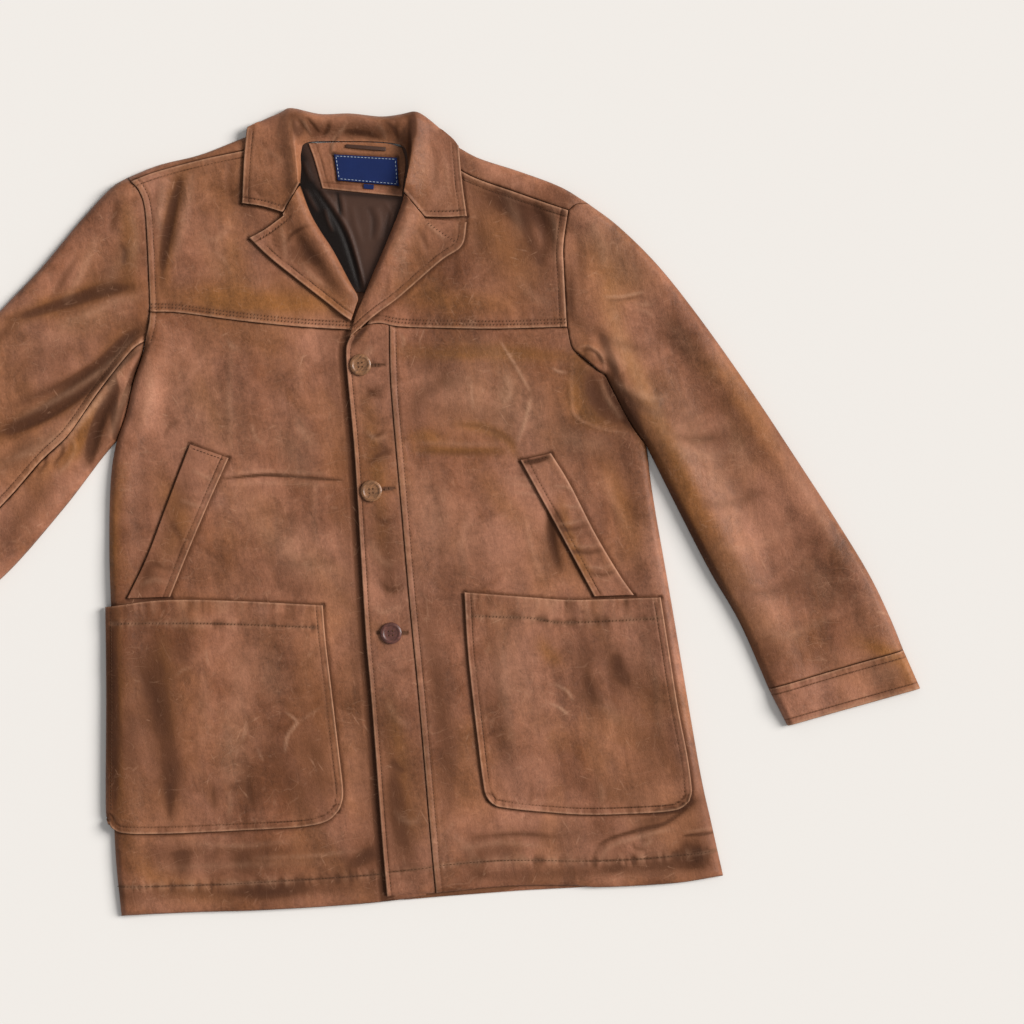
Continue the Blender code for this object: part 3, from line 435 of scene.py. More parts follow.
# Creases and folds: height or depth and half width in millimetres, then photo points
FOLDS = creases(
    (-4.2, 10, 140, 322, 100, 366, 40, 412, -30, 440), (3.6, 8, 120, 372, 80, 415, 30, 447, -20, 480),
    (-2.8, 9, 135, 287, 100, 292, 60, 305, 15, 320), (-2.2, 7, 112, 395, 95, 430, 85, 470),
    (-2.2, 11, -70, 500, -130, 520, -190, 560), (3.0, 7, 585, 352, 606, 356, 622, 372),
    (2.2, 14, 640, 330, 690, 420, 735, 520), (-2.2, 7, 530, 200, 546, 235, 541, 268),
    (-2.8, 7, 180, 175, 172, 210, 165, 240, 160, 270), (-2.2, 11, 592, 368, 596, 392, 608, 408, 626, 424),
    (0.8, 2, 572, 360, 570.5, 400, 575.5, 417, 590, 425, 612, 431, 632, 434),
    (-1.6, 9, 552, 508, 550, 545, 556, 585),
)
BODY_CREASES = creases(
    (0.9, 4, 165, 178, 160, 205, 157, 230), (0.9, 5, 192, 172, 186, 205, 180, 235, 172, 262),
    (-0.7, 4, 232, 160, 229, 185, 231, 205), (0.4, 3, 200, 232, 214, 240, 232, 224),
    (0.35, 2.5, 214, 250, 225, 262, 231, 275), (0.7, 6, 505, 190, 515, 215, 520, 240),
    (0.8, 4, 550, 205, 556, 230, 556, 262), (-0.6, 6, 480, 205, 478, 235, 486, 262),
    (0.5, 5, 515, 275, 530, 295, 552, 305), (0.5, 4, 231, 349, 229, 400, 231, 455),
    (0.4, 4, 315, 480, 313, 512, 316, 545), (-0.5, 3, 163, 440, 170, 425, 182, 421),
    (0.9, 6, 146, 352, 150, 390, 142, 430), (-0.7, 1.8, 222, 479, 250, 476, 273, 475, 310, 478, 343, 480),
    (0.4, 2.2, 222, 475, 262, 471.5, 330, 474), (0.3, 2.5, 228, 485, 275, 483, 340, 486),
    (-0.4, 5, 245, 500, 290, 520, 332, 528), (-0.5, 5, 250, 560, 290, 566, 335, 560),
    (0.3, 3, 187, 500, 180, 540, 176, 580), (0.4, 5, 295, 345, 300, 370, 297, 395),
    (-0.7, 6, 400, 352, 450, 349, 500, 352, 570, 358), (-0.8, 4, 417, 451, 460, 453, 503, 452),
    (0.4, 3, 417, 443, 460, 444, 500, 445), (-0.5, 3, 458, 424, 485, 428, 508, 440, 516, 456),
    (0.35, 1.6, 500, 341, 513, 362, 530, 391), (0.45, 1.8, 531, 398, 526, 418, 518, 441),
    (0.6, 3, 505, 375, 508, 392, 503, 404), (0.3, 2, 552, 366, 558, 372, 567, 373),
    (0.35, 2, 505, 477, 530, 480, 552, 484), (0.35, 2, 507, 484, 532, 486, 560, 491),
    (0.35, 2, 510, 492, 535, 495, 556, 500), (0.5, 3, 523, 514, 530, 545, 540, 582),
    (-1.4, 5, 548, 512, 552, 540, 561, 574), (0.6, 6, 600, 470, 612, 500, 632, 540),
    (0.4, 5, 470, 500, 462, 540, 466, 580), (-0.4, 5, 430, 480, 440, 530, 438, 580),
    (-1.1, 2.2, 592, 858, 600, 845, 612, 838, 640, 830, 668, 822, 697, 798),
    (0.7, 2.5, 600, 864, 606, 850, 618, 843, 646, 835, 676, 828), (-0.8, 1.4, 682, 836, 700, 834, 717, 832),
    (0.6, 1.6, 684, 832, 700, 830, 715, 827), (0.5, 3, 455, 850, 500, 843, 545, 847),
    (-0.5, 3, 470, 838, 520, 834, 560, 838), (0.4, 3, 180, 842, 240, 846, 300, 840),
    (0.4, 2.5, 250, 858, 310, 856, 365, 850), (-1.0, 1.6, 576.5, 352, 588, 362, 602.5, 373),
    (0.7, 3, 600, 378, 606, 396, 622, 420), (-0.4, 2, 632, 842, 636, 848, 646, 850),
    (0.4, 2, 642, 846, 650, 842, 648, 836), (-0.2, 4, 130, 856, 200, 852, 290, 850),
    (0.4, 4, 150, 868, 220, 866, 330, 862), (0.5, 5, 440, 830, 465, 845, 480, 870),
)
SLEEVE_CREASES = creases(
    (-1.6, 5, 140, 330, 110, 356, 70, 380, 20, 402, 0, 412), (-1.5, 5, 128, 352, 95, 384, 55, 412, 5, 436),
    (1.0, 3.5, 133, 338, 104, 368, 62, 396, 12, 420), (1.6, 4, 110, 388, 75, 424, 45, 445, 15, 460),
    (0.9, 5, 147, 296, 120, 300, 92, 312, 55, 328), (0.8, 4, 63, 302, 75, 285, 90, 255, 98, 235),
    (-0.8, 4, 50, 300, 64, 280, 80, 252), (-1.0, 4, 110, 235, 115, 215, 118, 200),
    (-0.8, 3, 123, 265, 124, 252, 121, 243), (0.7, 5, 128, 205, 134, 235, 133, 270),
    (0.9, 2.5, 70, 435, 75, 448, 68, 464, 52, 478), (-0.8, 2.5, 60, 440, 62, 452, 52, 468),
    (-0.7, 2.5, 44, 452, 45, 464, 36, 474), (-1.3, 5, 116, 385, 104, 410, 97, 430, 90, 470),
    (1.0, 4, 128, 385, 118, 412, 108, 440), (-1.2, 6, 18, 318, 8, 330, -10, 345),
    (-1.4, 9, -40, 380, -70, 420, -110, 440), (1.3, 8, -20, 400, -60, 450, -110, 480),
    (1.0, 8, -150, 500, -190, 530, -225, 560), (-1.0, 7, -100, 600, -140, 610, -180, 640),
    (0.35, 1.4, 604, 297, 620, 297, 644, 292.5), (-0.3, 1.6, 604, 300, 620, 300, 644, 295.5),
    (0.4, 2, 632, 303, 645, 305, 655, 302), (0.4, 2, 634, 309, 646, 312, 654, 318),
    (0.9, 1.5, 575.7, 348.5, 586, 346, 595, 349.6, 602.5, 358.6, 605, 373.8),
    (-1.0, 1.8, 580, 351, 588, 350, 596, 354, 602, 364), (0.8, 5, 590, 222, 600, 245, 604, 270),
    (-0.8, 5, 576, 232, 580, 262, 582, 300), (-0.6, 7, 620, 240, 640, 270, 664, 300),
    (-0.9, 6, 590, 330, 620, 345, 650, 352), (0.9, 5, 612, 380, 640, 396, 668, 398),
    (-0.9, 5, 620, 392, 645, 410, 672, 416), (-0.6, 5, 650, 330, 680, 350, 700, 352),
    (-0.8, 5, 660, 430, 690, 440, 725, 436), (0.6, 5, 668, 446, 700, 456, 735, 450),
    (-0.7, 6, 690, 500, 725, 505, 765, 490), (0.6, 6, 712, 545, 745, 548, 790, 530),
    (-0.7, 6, 735, 590, 770, 592, 815, 574), (0.5, 5, 755, 632, 790, 634, 845, 612),
    (-0.9, 5, 650, 455, 690, 530, 722, 592, 752, 650), (0.6, 6, 790, 470, 820, 520, 845, 570),
)
POCKET_CREASES = creases(
    (-0.7, 7, 125, 640, 150, 690, 165, 740), (0.5, 8, 200, 630, 205, 700, 198, 780),
    (-0.4, 7, 240, 655, 262, 700, 268, 760), (0.3, 1.8, 286, 712, 297, 722, 288, 735, 285, 752),
    (-0.5, 4, 169, 782, 170, 800, 170, 820), (-0.5, 4, 213, 782, 214, 798, 213, 812),
    (0.4, 3, 228, 790, 230, 804, 229, 820), (-0.4, 4, 247, 774, 249, 792, 254, 812),
    (0.4, 2, 554, 684, 566, 690, 573, 700), (0.4, 2, 549, 703, 560, 708, 568, 715),
    (0.5, 6, 500, 640, 505, 700, 515, 760), (-0.5, 7, 620, 640, 612, 690, 622, 750),
    (-0.5, 6, 576, 640, 590, 690, 602, 745), (-0.4, 3, 530, 780, 531, 792, 529, 806),
    (0.4, 3, 600, 782, 602, 794, 601, 806), (0.5, 5, 640, 620, 655, 680, 662, 740),
)
WELT_CREASES = creases(
    (0.7, 2, 553, 486, 564, 487, 576, 490), (0.9, 2, 556, 524, 572, 523, 588, 518),
    (-0.8, 2.5, 558, 529, 574, 529, 590, 524), (0.9, 2, 569, 545, 585, 547, 600, 544),
    (-0.8, 2.5, 571, 551, 588, 553, 603, 549), (0.8, 2, 584, 566, 600, 568, 614, 564),
    (-0.6, 2.5, 588, 573, 602, 575, 616, 571), (0.5, 2, 562, 505, 574, 507, 583, 504),
    (0.4, 2, 192, 470, 204, 476, 214, 482), (0.5, 2.5, 180, 500, 195, 505, 205, 507),
    (-0.6, 4, 150, 560, 165, 568, 180, 566), (-0.6, 4, 170, 520, 180, 540, 178, 565),
    (0.5, 3, 140, 585, 155, 580, 170, 584),
)
PLACKET_CREASES = creases(
    (-0.6, 4, 364, 384, 374, 395, 386, 398), (-0.5, 4, 358, 404, 368, 418, 380, 424),
    (0.6, 3, 366, 430, 376, 440, 388, 436), (-0.7, 4, 364, 452, 378, 448, 392, 452),
    (-0.6, 4, 372, 515, 384, 522, 398, 514), (0.6, 4, 370, 540, 380, 560, 394, 566),
    (-0.6, 4, 378, 580, 390, 590, 404, 586), (0.6, 3, 372, 608, 384, 612, 400, 606),
    (-0.6, 4, 384, 660, 396, 672, 410, 668), (0.5, 4, 386, 700, 398, 720, 412, 726),
    (-0.5, 4, 390, 760, 404, 770, 420, 764), (0.5, 4, 394, 810, 408, 822, 424, 818),
    (0.8, 4, 372, 345, 366, 356, 358, 366),
)
COLLAR_CREASES = creases(
    (-0.5, 1.6, 254, 188, 259, 193, 263, 198), (0.4, 3, 262, 150, 275, 156, 284, 166),
    (-0.4, 3, 256, 140, 268, 150, 272, 172), (0.7, 1.8, 300, 118, 306, 126, 312, 136),
    (-0.5, 1.8, 306, 117, 313, 125, 320, 134), (0.9, 2, 341, 130, 333, 140, 331, 153),
    (0.6, 2, 348, 122, 343, 130, 338, 138), (-0.5, 2.5, 330, 120, 328, 130, 322, 138),
    (0.4, 2.5, 378, 126, 384, 133, 386, 140), (-0.5, 2.5, 398, 122, 396, 132, 399, 142),
    (-0.5, 4, 428, 140, 436, 160, 434, 190), (0.4, 3, 442, 150, 446, 170, 448, 195),
)
LAPEL_CREASES = creases(
    (-0.5, 1.6, 272, 228, 274, 240, 277, 252), (0.6, 2, 281, 224, 284, 240, 286, 262),
    (-0.7, 5, 296, 232, 306, 250, 318, 266), (0.6, 3, 300, 262, 312, 276, 330, 290),
    (0.8, 2, 425, 222, 435, 231, 446, 241), (-0.6, 3, 418, 228, 424, 240, 430, 250),
    (0.5, 4, 400, 250, 404, 266, 398, 284), (-0.5, 3, 385, 270, 388, 284, 384, 298),
    (0.6, 4, 412, 214, 402, 236, 392, 256),
)
LINING_FOLDS = creases(
    (1.7, 1.7, 319, 186, 338, 213, 351, 238, 366, 291), (-1.3, 2.6, 315, 188, 333, 214, 346, 240, 361, 291),
    (-1.2, 1.5, 337, 193, 339, 205, 340, 218), (0.7, 1.6, 341, 193, 344, 208, 346, 222),
    (-0.7, 2.5, 368, 206, 373, 220, 372, 240), (0.6, 2.5, 376, 206, 380, 222, 377, 240),
    (0.5, 3, 352, 205, 356, 225, 362, 244), (-0.6, 2, 392, 205, 388, 222, 384, 238),
    (0.5, 2, 384, 200, 392, 214, 390, 228), (0.8, 1.8, 304, 160, 308, 172, 312, 182),
    (0.9, 1.6, 325, 208, 328, 220, 333, 232), (0.7, 2, 305, 188, 311, 200, 318, 212),
)
LINING_SHADE = creases(
    (0.9, 13, 300, 150, 304, 185, 318, 210, 338, 240, 356, 285),
    (1.2, 8, 299, 144, 303, 175, 322, 212, 342, 248, 360, 296),
    (0.8, 6, 294, 186, 306, 212, 326, 248, 346, 290), (0.8, 2, 337, 192, 339, 205, 340, 217),
    (0.7, 3, 322, 191, 350, 193.5, 402, 198), (0.9, 4, 404, 198, 392, 236, 372, 290),
)

# Profiles of an edge or seam: distance from it and rise of the leather, in millimetres. Where the leather
# dips it is painted with shade: UNDER and SHADE paint the shadow of a piece above.
CUT = [(0, -0.4), (0.5, -0.1), (1.1, 0)]
LIP_TWO_ROWS = [
    (0, -0.1), (0.5, 0.7), (1.6, 1.0), (2.5, 0.6), (3.6, 0.0), (4.4, -0.3), (5.6, -0.1), (7.0, -0.1),
    (8.3, -0.35), (10, 0.15), (13, 0),
]
LIP_ONE_ROW = [(0, -0.2), (0.5, 0.5), (1.8, 0.9), (3.7, 0.8), (5.4, 0.5), (6.9, -0.4), (8.6, 0.25), (12, 0)]
GORGE_LIP = LIP_ONE_ROW[:3] + [(4, 0)]
TUCKED = [(0, -0.9), (0.5, -0.7), (1.4, -0.25), (2.7, 0)]
TURNED = [
    (0, -0.6), (0.4, 0.25), (1.1, 0.6), (1.9, 0.35), (3.0, 0.1), (5.5, 0.05), (6.3, -0.1),
    (7.2, -0.55), (8.0, 0.0), (8.8, 0.25), (10, 0.1), (12, 0),
]
BAND = [(0, -0.5), (0.5, 0.1), (1.1, 0.45), (2.2, 0.3), (12, 0.25), (20, 0.1), (23, 0)]
UNDER = [(0, -0.55), (1.5, -0.45), (3.5, 0)]
SHADE = [(0, -0.9), (3, -0.8), (7.5, -0.55), (9, -0.32), (10, -0.10), (11, -0.25), (20, -0.15), (32, 0)]
BOUND = [
    (0, -0.6), (0.4, 0.3), (1.1, 0.7), (2.2, 0.5), (3.7, 0.3), (4.6, -0.1), (5.2, -0.45),
    (6.2, 0.0), (8, 0.15), (10, 0),
]
SLIT = [(0, -1.0), (1.2, -0.9), (2.0, -0.1), (2.8, 0.15), (3.8, 0)]
SOFT_EDGE = [(0, -0.5), (0.5, 0.1), (1.5, 0.6), (4, 0.7), (9, 0)]
GROOVE = [(0, -0.55), (1.2, -0.25), (2.4, 0.15), (4.0, 0.25), (8, 0)]
CREASE_LIGHT_AND_SHADE = 0.6


def bent(plan, creases):
    """Rise that soft ridges and troughs give the leather, in metres, with pale wear and painted highlight on
    the ridges and painted shade in the troughs, by their sharpness.
    """
    rise, wear_and_highlight, shade_and_smudge = (np.zeros(plan.shape[:-1]) for _ in range(3))
    for crease in creases:
        width = crease.width * MM
        gap, along = near(plan, smooth(crease.line, 32), 3 * width)
        shape = np.sin(math.pi * np.clip(along, 0, 1)) ** 0.5 * np.exp(-((gap / width) ** 2))
        rise += crease.height * MM * shape
        steepness = min(1.0, abs(crease.height) / (0.25 * crease.width))
        # Ridges take pale wear and painted highlight, troughs take painted shade
        (wear_and_highlight if crease.height > 0 else shade_and_smudge)[...] += CREASE_LIGHT_AND_SHADE * steepness * shape
    return rise, wear_and_highlight, shade_and_smudge


def shaped(plan, edges):
    """Rise beside seams, hems and edges, with the puckers that their stitches pull, pale wear and painted
    highlight on raised lips and pucker tops, and painted shade where the leather dips.
    """
    rise, wear_and_highlight, shade_and_smudge = (np.zeros(plan.shape[:-1]) for _ in range(3))
    for number, edge in enumerate(edges):
        away, heights = (np.array(values) for values in zip(*edge.profile))
        gap, along = near(plan, edge.line, away[-1] * MM)
        lift = np.interp(gap / MM, away, heights, right=0.0)
        reach = np.exp(-((gap / (0.7 * away[-1] * MM)) ** 2))
        way = np.stack([along * length_of(edge.line), np.full_like(along, 0.01 * number)], -1)
        pull = lumps(way, 0.0036, 31) + 0.7 * lumps(way, 0.0085, 32) + 0.35 * lumps(way, 0.018, 33)
        rise += MM * (lift + edge.pucker * pull * reach)
        # Raised lips: pale wear and painted highlight
        rubbed_and_lit = np.clip(1.5 * max(heights), 0, 1) * np.exp(-(((gap / MM - 1.0) / 0.9) ** 2))
        wear_and_highlight += rubbed_and_lit + 0.15 * np.clip(lift, 0, 1) + 1.2 * edge.pucker * np.clip(pull, 0, 1) * reach
        # Dips at seams, cut edges and round pieces lying above, and the low sides of puckers: painted shade
        shade_and_smudge += np.clip(-lift * 1.1, 0, 1) + 1.5 * edge.pucker * np.clip(-pull, 0, 1) * reach
    return rise, wear_and_highlight, shade_and_smudge


def waves(plan):
    """Uneven lie of the worn leather, the same for all the pieces, in metres."""
    broad = 0.55 * lumps(plan, 0.065, 1) + 0.30 * lumps(plan, 0.030, 2)
    small = 0.13 * lumps(plan, 0.012, 3, (1.5, 0.8)) + 0.06 * lumps(plan, 0.006, 4, (1.6, 0.8))
    for seed, stretch in ((5, (1.5, 0.5)), (6, (0.6, 1.4))):
        sharp = (1 - np.abs(lumps(plan, 0.034, seed, stretch))) ** 8
        small += 0.32 * sharp * eased(2 * lumps(plan, 0.045, seed + 10))
    return MM * (broad + small)


def flat(top):
    return lambda plan: np.full(plan.shape[:-1], top)


def levelled(plan, rolls):
    """Height of the laid leather before it drops at its folded edges."""
    height = FLAT_HEIGHT + waves(plan) + bent(plan, FOLDS)[0]
    for roll in rolls:
        gap, along = distance(plan, roll.line)
        crown = np.interp(along, np.linspace(0, 1, len(roll.heights)), roll.heights)
        height += crown * np.exp(-(((gap - roll.reach) / roll.reach) ** 2))
    return np.maximum(height, LOWEST_TOP)


def dropped(plan, height, rolls, radius=EDGE_RADIUS):
    """The same leather, rolled down to the floor at its folded edges."""
    share = np.ones(plan.shape[:-1])
    for roll in rolls:
        share *= rounded(distance(plan, roll.line)[0], radius)
    return FLOOR_RIM + (height - FLOOR_RIM) * share


def overlap_lift(plan):
    """How far the left front is lifted by the right front beneath it."""
    seam = smooth(PLACKET_SEAM)
    gap, _ = distance(plan, seam)
    seam_x = np.interp(-plan[..., 1], -seam[:, 1], seam[:, 0])
    over = (plan[..., 0] < seam_x) & (plan[..., 1] < seam[0, 1])
    return OVERLAP_LIFT * (1 - eased(np.where(over, 0, gap) / OVERLAP_FADE))


def body_right(plan):
    return dropped(plan, levelled(plan, BODY_ROLLS), BODY_ROLLS)


def body_left(plan):
    return dropped(plan, levelled(plan, BODY_ROLLS) + overlap_lift(plan), BODY_ROLLS)


def sleeve(plan):
    return dropped(plan, levelled(plan, SLEEVE_ROLLS), SLEEVE_ROLLS)


def revers(plan):
    """Top of the collar leaf and lapels where they lie on the fronts."""
    return levelled(plan, BODY_ROLLS) + overlap_lift(plan) + TWO_LAYERS + LAID_GAP


def lapel(roll_points):
    """Height of a lapel, thick at its roll and turned under there."""
    roll_line = smooth(roll_points)
    upper, lower = place(APEX)[:, 1]

    def height(plan):
        gap, _ = distance(plan, roll_line)
        top = revers(plan)
        crown = LAPEL_FOLD_HEIGHT * np.exp(-(((gap - LAPEL_CROWN_AT) / LAPEL_CROWN_REACH) ** 2))
        resting = eased((upper - plan[..., 1]) / (upper - lower))
        rim = LAPEL_RIM + (top - LAPEL_DROP - LAPEL_RIM) * resting
        return rim + (top + crown * (1 - 0.6 * resting) - rim) * rounded(gap, REVERS_RADIUS)

    return height


def collar(plan):
    """Collar leaf outside its fold, and the stand inside it down to the neck seam."""
    fold, seam = smooth(COLLAR_FOLD), smooth(COLLAR_SEAM)
    to_fold, to_seam = distance(plan, fold)[0], distance(plan, seam)[0]
    leaf = revers(plan) + COLLAR_FOLD_HEIGHT * np.exp(-((to_fold / COLLAR_FOLD_REACH) ** 2))
    top_roll = distance(plan, smooth(COLLAR_TOP_ROLL))[0]
    leaf = COLLAR_RIM + (leaf - COLLAR_RIM) * rounded(top_roll, EDGE_RADIUS)
    crest = revers(plan) + COLLAR_FOLD_HEIGHT
    share = eased(to_seam / (to_seam + to_fold + 1e-9))
    stand = NECK_SEAM_HEIGHT + (crest - NECK_SEAM_HEIGHT) * share
    return np.where(within(plan, fold), stand, leaf)


def surface(skin, plan):
    """Height of a piece's leather, with how far each point is pale from wear and painted highlight on ridges,
    and dark from painted shade in valleys.
    """
    seams, seam_wear_and_highlight, seam_shade = shaped(plan, skin.edges)
    folds, wear_and_highlight, shade_and_smudge = bent(plan, skin.creases)
    base = skin.base(plan)
    _, fold_wear_and_highlight, fold_shade = bent(plan, FOLDS)
    return base + seams + folds, wear_and_highlight + seam_wear_and_highlight + 0.5 * fold_wear_and_highlight, shade_and_smudge + seam_shade + fold_shade


class Nodes:
    """A material's node tree, with a short call for each kind of node that is used."""

    def __init__(self, name):
        self.material = bpy.data.materials.new(name)
        self.material.use_nodes = True
        self.tree = self.material.node_tree
        self.shader = self.tree.nodes["Principled BSDF"]

    def finish(self, color, roughness, specular=None):
        """Set the shader's colour, its roughness and, where given, its specular level."""
        self.put(self.shader.inputs["Base Color"], color)
        self.put(self.shader.inputs["Roughness"], roughness)
        if specular is not None:
            self.put(self.shader.inputs["Specular IOR Level"], specular)

    def bump(self, height, strength, distance):
        keys = {"Height": height, "Strength": strength, "Distance": distance}
        self.put(self.shader.inputs["Normal"], self.add("Bump", keys))

    def marks(self):
        """How pale from wear and painted highlight, how dark from painted shade and smudges, and how ochre
        the mesh says that each point is.
        """
        marks = self.add("Attribute", attribute_name="marks")
        return self.add("SeparateColor", {0: marks}).node.outputs[:3]

    def put(self, socket, value):
        if isinstance(value, bpy.types.NodeSocket):
            self.tree.links.new(value, socket)
        elif hasattr(value, "__len__") and len(value) == 3 and socket.type == "RGBA":
            socket.default_value = (*value, 1)
        else:
            socket.default_value = value

    def add(self, kind, inputs=(), output=0, **settings):
        node = self.tree.nodes.new("ShaderNode" + kind)
        for key, value in settings.items():
            setattr(node, key, value)
        for key, value in dict(inputs).items():
            self.put(node.inputs[key], value)
        return node.outputs[output]

    def math(self, operation, first, second=0.0, clamp=False):
        return self.add("Math", {0: first, 1: second}, operation=operation, use_clamp=clamp)

    def mix(self, share, first, second, blend="MIX"):
        return self.add(
            "Mix", {0: share, 6: first, 7: second}, 2, data_type="RGBA", blend_type=blend
        )

    def span(self, value, low, high, to_low=0.0, to_high=1.0):
        """The value carried from one span to another, held within it."""
        keys = {"Value": value, "From Min": low, "From Max": high, "To Min": to_low, "To Max": to_high}
        return self.add("MapRange", keys)

    def noise(self, coords, scale, detail=3.0, roughness=0.55, distortion=0.0):
        keys = {"Vector": coords, "Scale": scale, "Detail": detail}
        keys.update({"Roughness": roughness, "Distortion": distortion})
        return self.add("TexNoise", keys)

    def drawn_out(self, coords, stretch, turn):
        """Coordinates that make a pattern longer along one direction of the leather."""
        keys = {"Vector": coords, "Scale": (stretch, 1, 1), "Rotation": (0, 0, turn)}
        return self.add("Mapping", keys, vector_type="TEXTURE")


# Colours are linear. SHADED and DARK paint shade into folds, seams and under edges, and darken smudges; the
# pale worn colour is wear with painted highlight.
BROWN = (0.170, 0.057, 0.022)
ROSY = (0.262, 0.109, 0.062)
OCHRE = (0.222, 0.083, 0.022)
SHADED = (0.090, 0.029, 0.009)
DARK = (0.052, 0.017, 0.007)
WORN_AND_LIT = (0.46, 0.245, 0.145)


def leather(name, lightness=1.0, rosy=0.0):
    """Pull-up leather: darker and warmer in places, fine wrinkles and scuffs, pale where rubbed, with painted
    shade and painted highlight from the marks.
    """
    nodes = Nodes(name)
    coords = nodes.add("TexCoord", output=3)
    worn_and_lit, dark, ochre = nodes.marks()
    cloud = nodes.noise(coords, 7, 3, 0.5, 0.4)
    hues = nodes.noise(nodes.drawn_out(coords, 1.6, 1.9), 12, 3, 0.55, 0.5)
    patches = nodes.noise(coords, 26, 5, 0.62, 0.7)
    drape = nodes.noise(nodes.drawn_out(coords, 3.0, 1.65), 22, 3, 0.5, 0.3)
    streaks = nodes.noise(nodes.drawn_out(coords, 5.0, 1.7), 99, 5, 0.65, 0.4)
    mottle = nodes.noise(coords, 85, 5, 0.7, 0.2)
    fleck = nodes.noise(coords, 380, 3, 0.6)
    grain = nodes.add("TexVoronoi", {"Vector": coords, "Scale": 850.0}, feature="DISTANCE_TO_EDGE")

    def veins(scale, turn, stretch, width, low, seed):
        """Thin broken lines, as creases in worn leather are."""
        lines = nodes.noise(nodes.drawn_out(coords, stretch, turn), scale * stretch, 2, 0.5, 0.2)
        line = nodes.span(nodes.math("ABSOLUTE", nodes.math("SUBTRACT", lines, 0.5)), 0.0, width, 1.0, 0.0)
        where = nodes.noise(nodes.drawn_out(coords, 1.0, seed), 34, 3, 0.6)
        return nodes.math("MULTIPLY", line, nodes.span(where, low, low + 0.08))

    creased = veins(11, 0.1, 3.4, 0.008, 0.50, 1.0)
    for scale, turn, stretch, width, low, seed in (
        (13, 0.9, 2.6, 0.008, 0.53, 2.0), (10, 1.7, 3.0, 0.007, 0.54, 3.0), (24, 2.9, 3.0, 0.012, 0.56, 4.0),
    ):
        creased = nodes.math("ADD", creased, veins(scale, turn, stretch, width, low, seed), clamp=True)
    scuffed = nodes.span(nodes.noise(coords, 31, 3, 0.6), 0.50, 0.60)
    specks = nodes.span(nodes.noise(nodes.drawn_out(coords, 2.2, 0.8), 240, 3, 0.6, 0.2), 0.69, 0.79)
    for turn, stretch in ((0.35, 9.0), (1.15, 8.0), (2.05, 10.0), (2.75, 7.0)):
        dashes = nodes.noise(nodes.drawn_out(coords, stretch, turn), 380, 1, 0.5)
        dashes = nodes.math("MULTIPLY", nodes.span(dashes, 0.70, 0.79), scuffed)
        specks = nodes.math("ADD", specks, dashes, clamp=True)

    hue = nodes.math("ADD", nodes.span(hues, 0.46, 0.66, 0.0, 0.38), ochre, clamp=True)
    tone = nodes.math("ADD", nodes.math("MULTIPLY", patches, 0.35), nodes.math("MULTIPLY", cloud, 0.65))
    base = nodes.mix(nodes.span(tone, 0.36, 0.60, rosy, 1.0), BROWN, ROSY)
    base = nodes.mix(hue, base, OCHRE)
    value = nodes.span(cloud, 0.36, 0.64, -0.13, 0.13)
    for layer, reach, share in (
        (patches, 0.15, 0.12), (drape, 0.14, 0.19), (streaks, 0.2, 0.13),
        (mottle, 0.2, 0.13), (fleck, 0.2, 0.14),
    ):
        value = nodes.math("ADD", value, nodes.span(layer, 0.5 - reach, 0.5 + reach, -share, share))
    value = nodes.math("MULTIPLY", nodes.math("ADD", value, 1.0), lightness)
    base = nodes.mix(1.0, base, nodes.add("CombineColor", {0: value, 1: value, 2: value}), "MULTIPLY")

    # Pale wear with painted highlight on lips and ridges
    rubbed_and_lit = nodes.math("MULTIPLY", worn_and_lit, nodes.span(mottle, 0.35, 0.65, 0.5, 1.15), clamp=True)
    pale = nodes.math("ADD", nodes.math("MULTIPLY", creased, 0.14), nodes.math("MULTIPLY", specks, 0.27))
    pale = nodes.math("ADD", nodes.math("MULTIPLY", rubbed_and_lit, 0.50), pale, clamp=True)
    # Painted shade and darker smudges: the shaded colour, then the dark one where deepest
    shade_and_smudge_strength = nodes.math("MULTIPLY", dark, nodes.span(mottle, 0.3, 0.7, 0.8, 1.0), clamp=True)
    base = nodes.mix(nodes.span(shade_and_smudge_strength, 0.0, 0.6, 0.0, 0.85), base, SHADED)
    base = nodes.mix(nodes.span(shade_and_smudge_strength, 0.45, 1.0, 0.0, 0.9), base, DARK)
    base = nodes.mix(pale, base, WORN_AND_LIT)

    rough = nodes.span(patches, 0.3, 0.7, 0.46, 0.60)
    rough = nodes.math("ADD", rough, nodes.math("MULTIPLY", pale, 0.15))
    rough = nodes.math("ADD", rough, nodes.math("MULTIPLY", shade_and_smudge_strength, 0.35), clamp=True)
    nodes.finish(base, rough, 0.22)
    relief = nodes.math("MULTIPLY", nodes.span(grain, 0.0, 0.25), 0.07)
    for layer, share in ((patches, 0.9), (streaks, 0.5), (mottle, 0.8), (fleck, 0.16)):
        relief = nodes.math("ADD", relief, nodes.math("MULTIPLY", layer, share))
    nodes.bump(relief, 0.6, 0.0016)
    return nodes.material


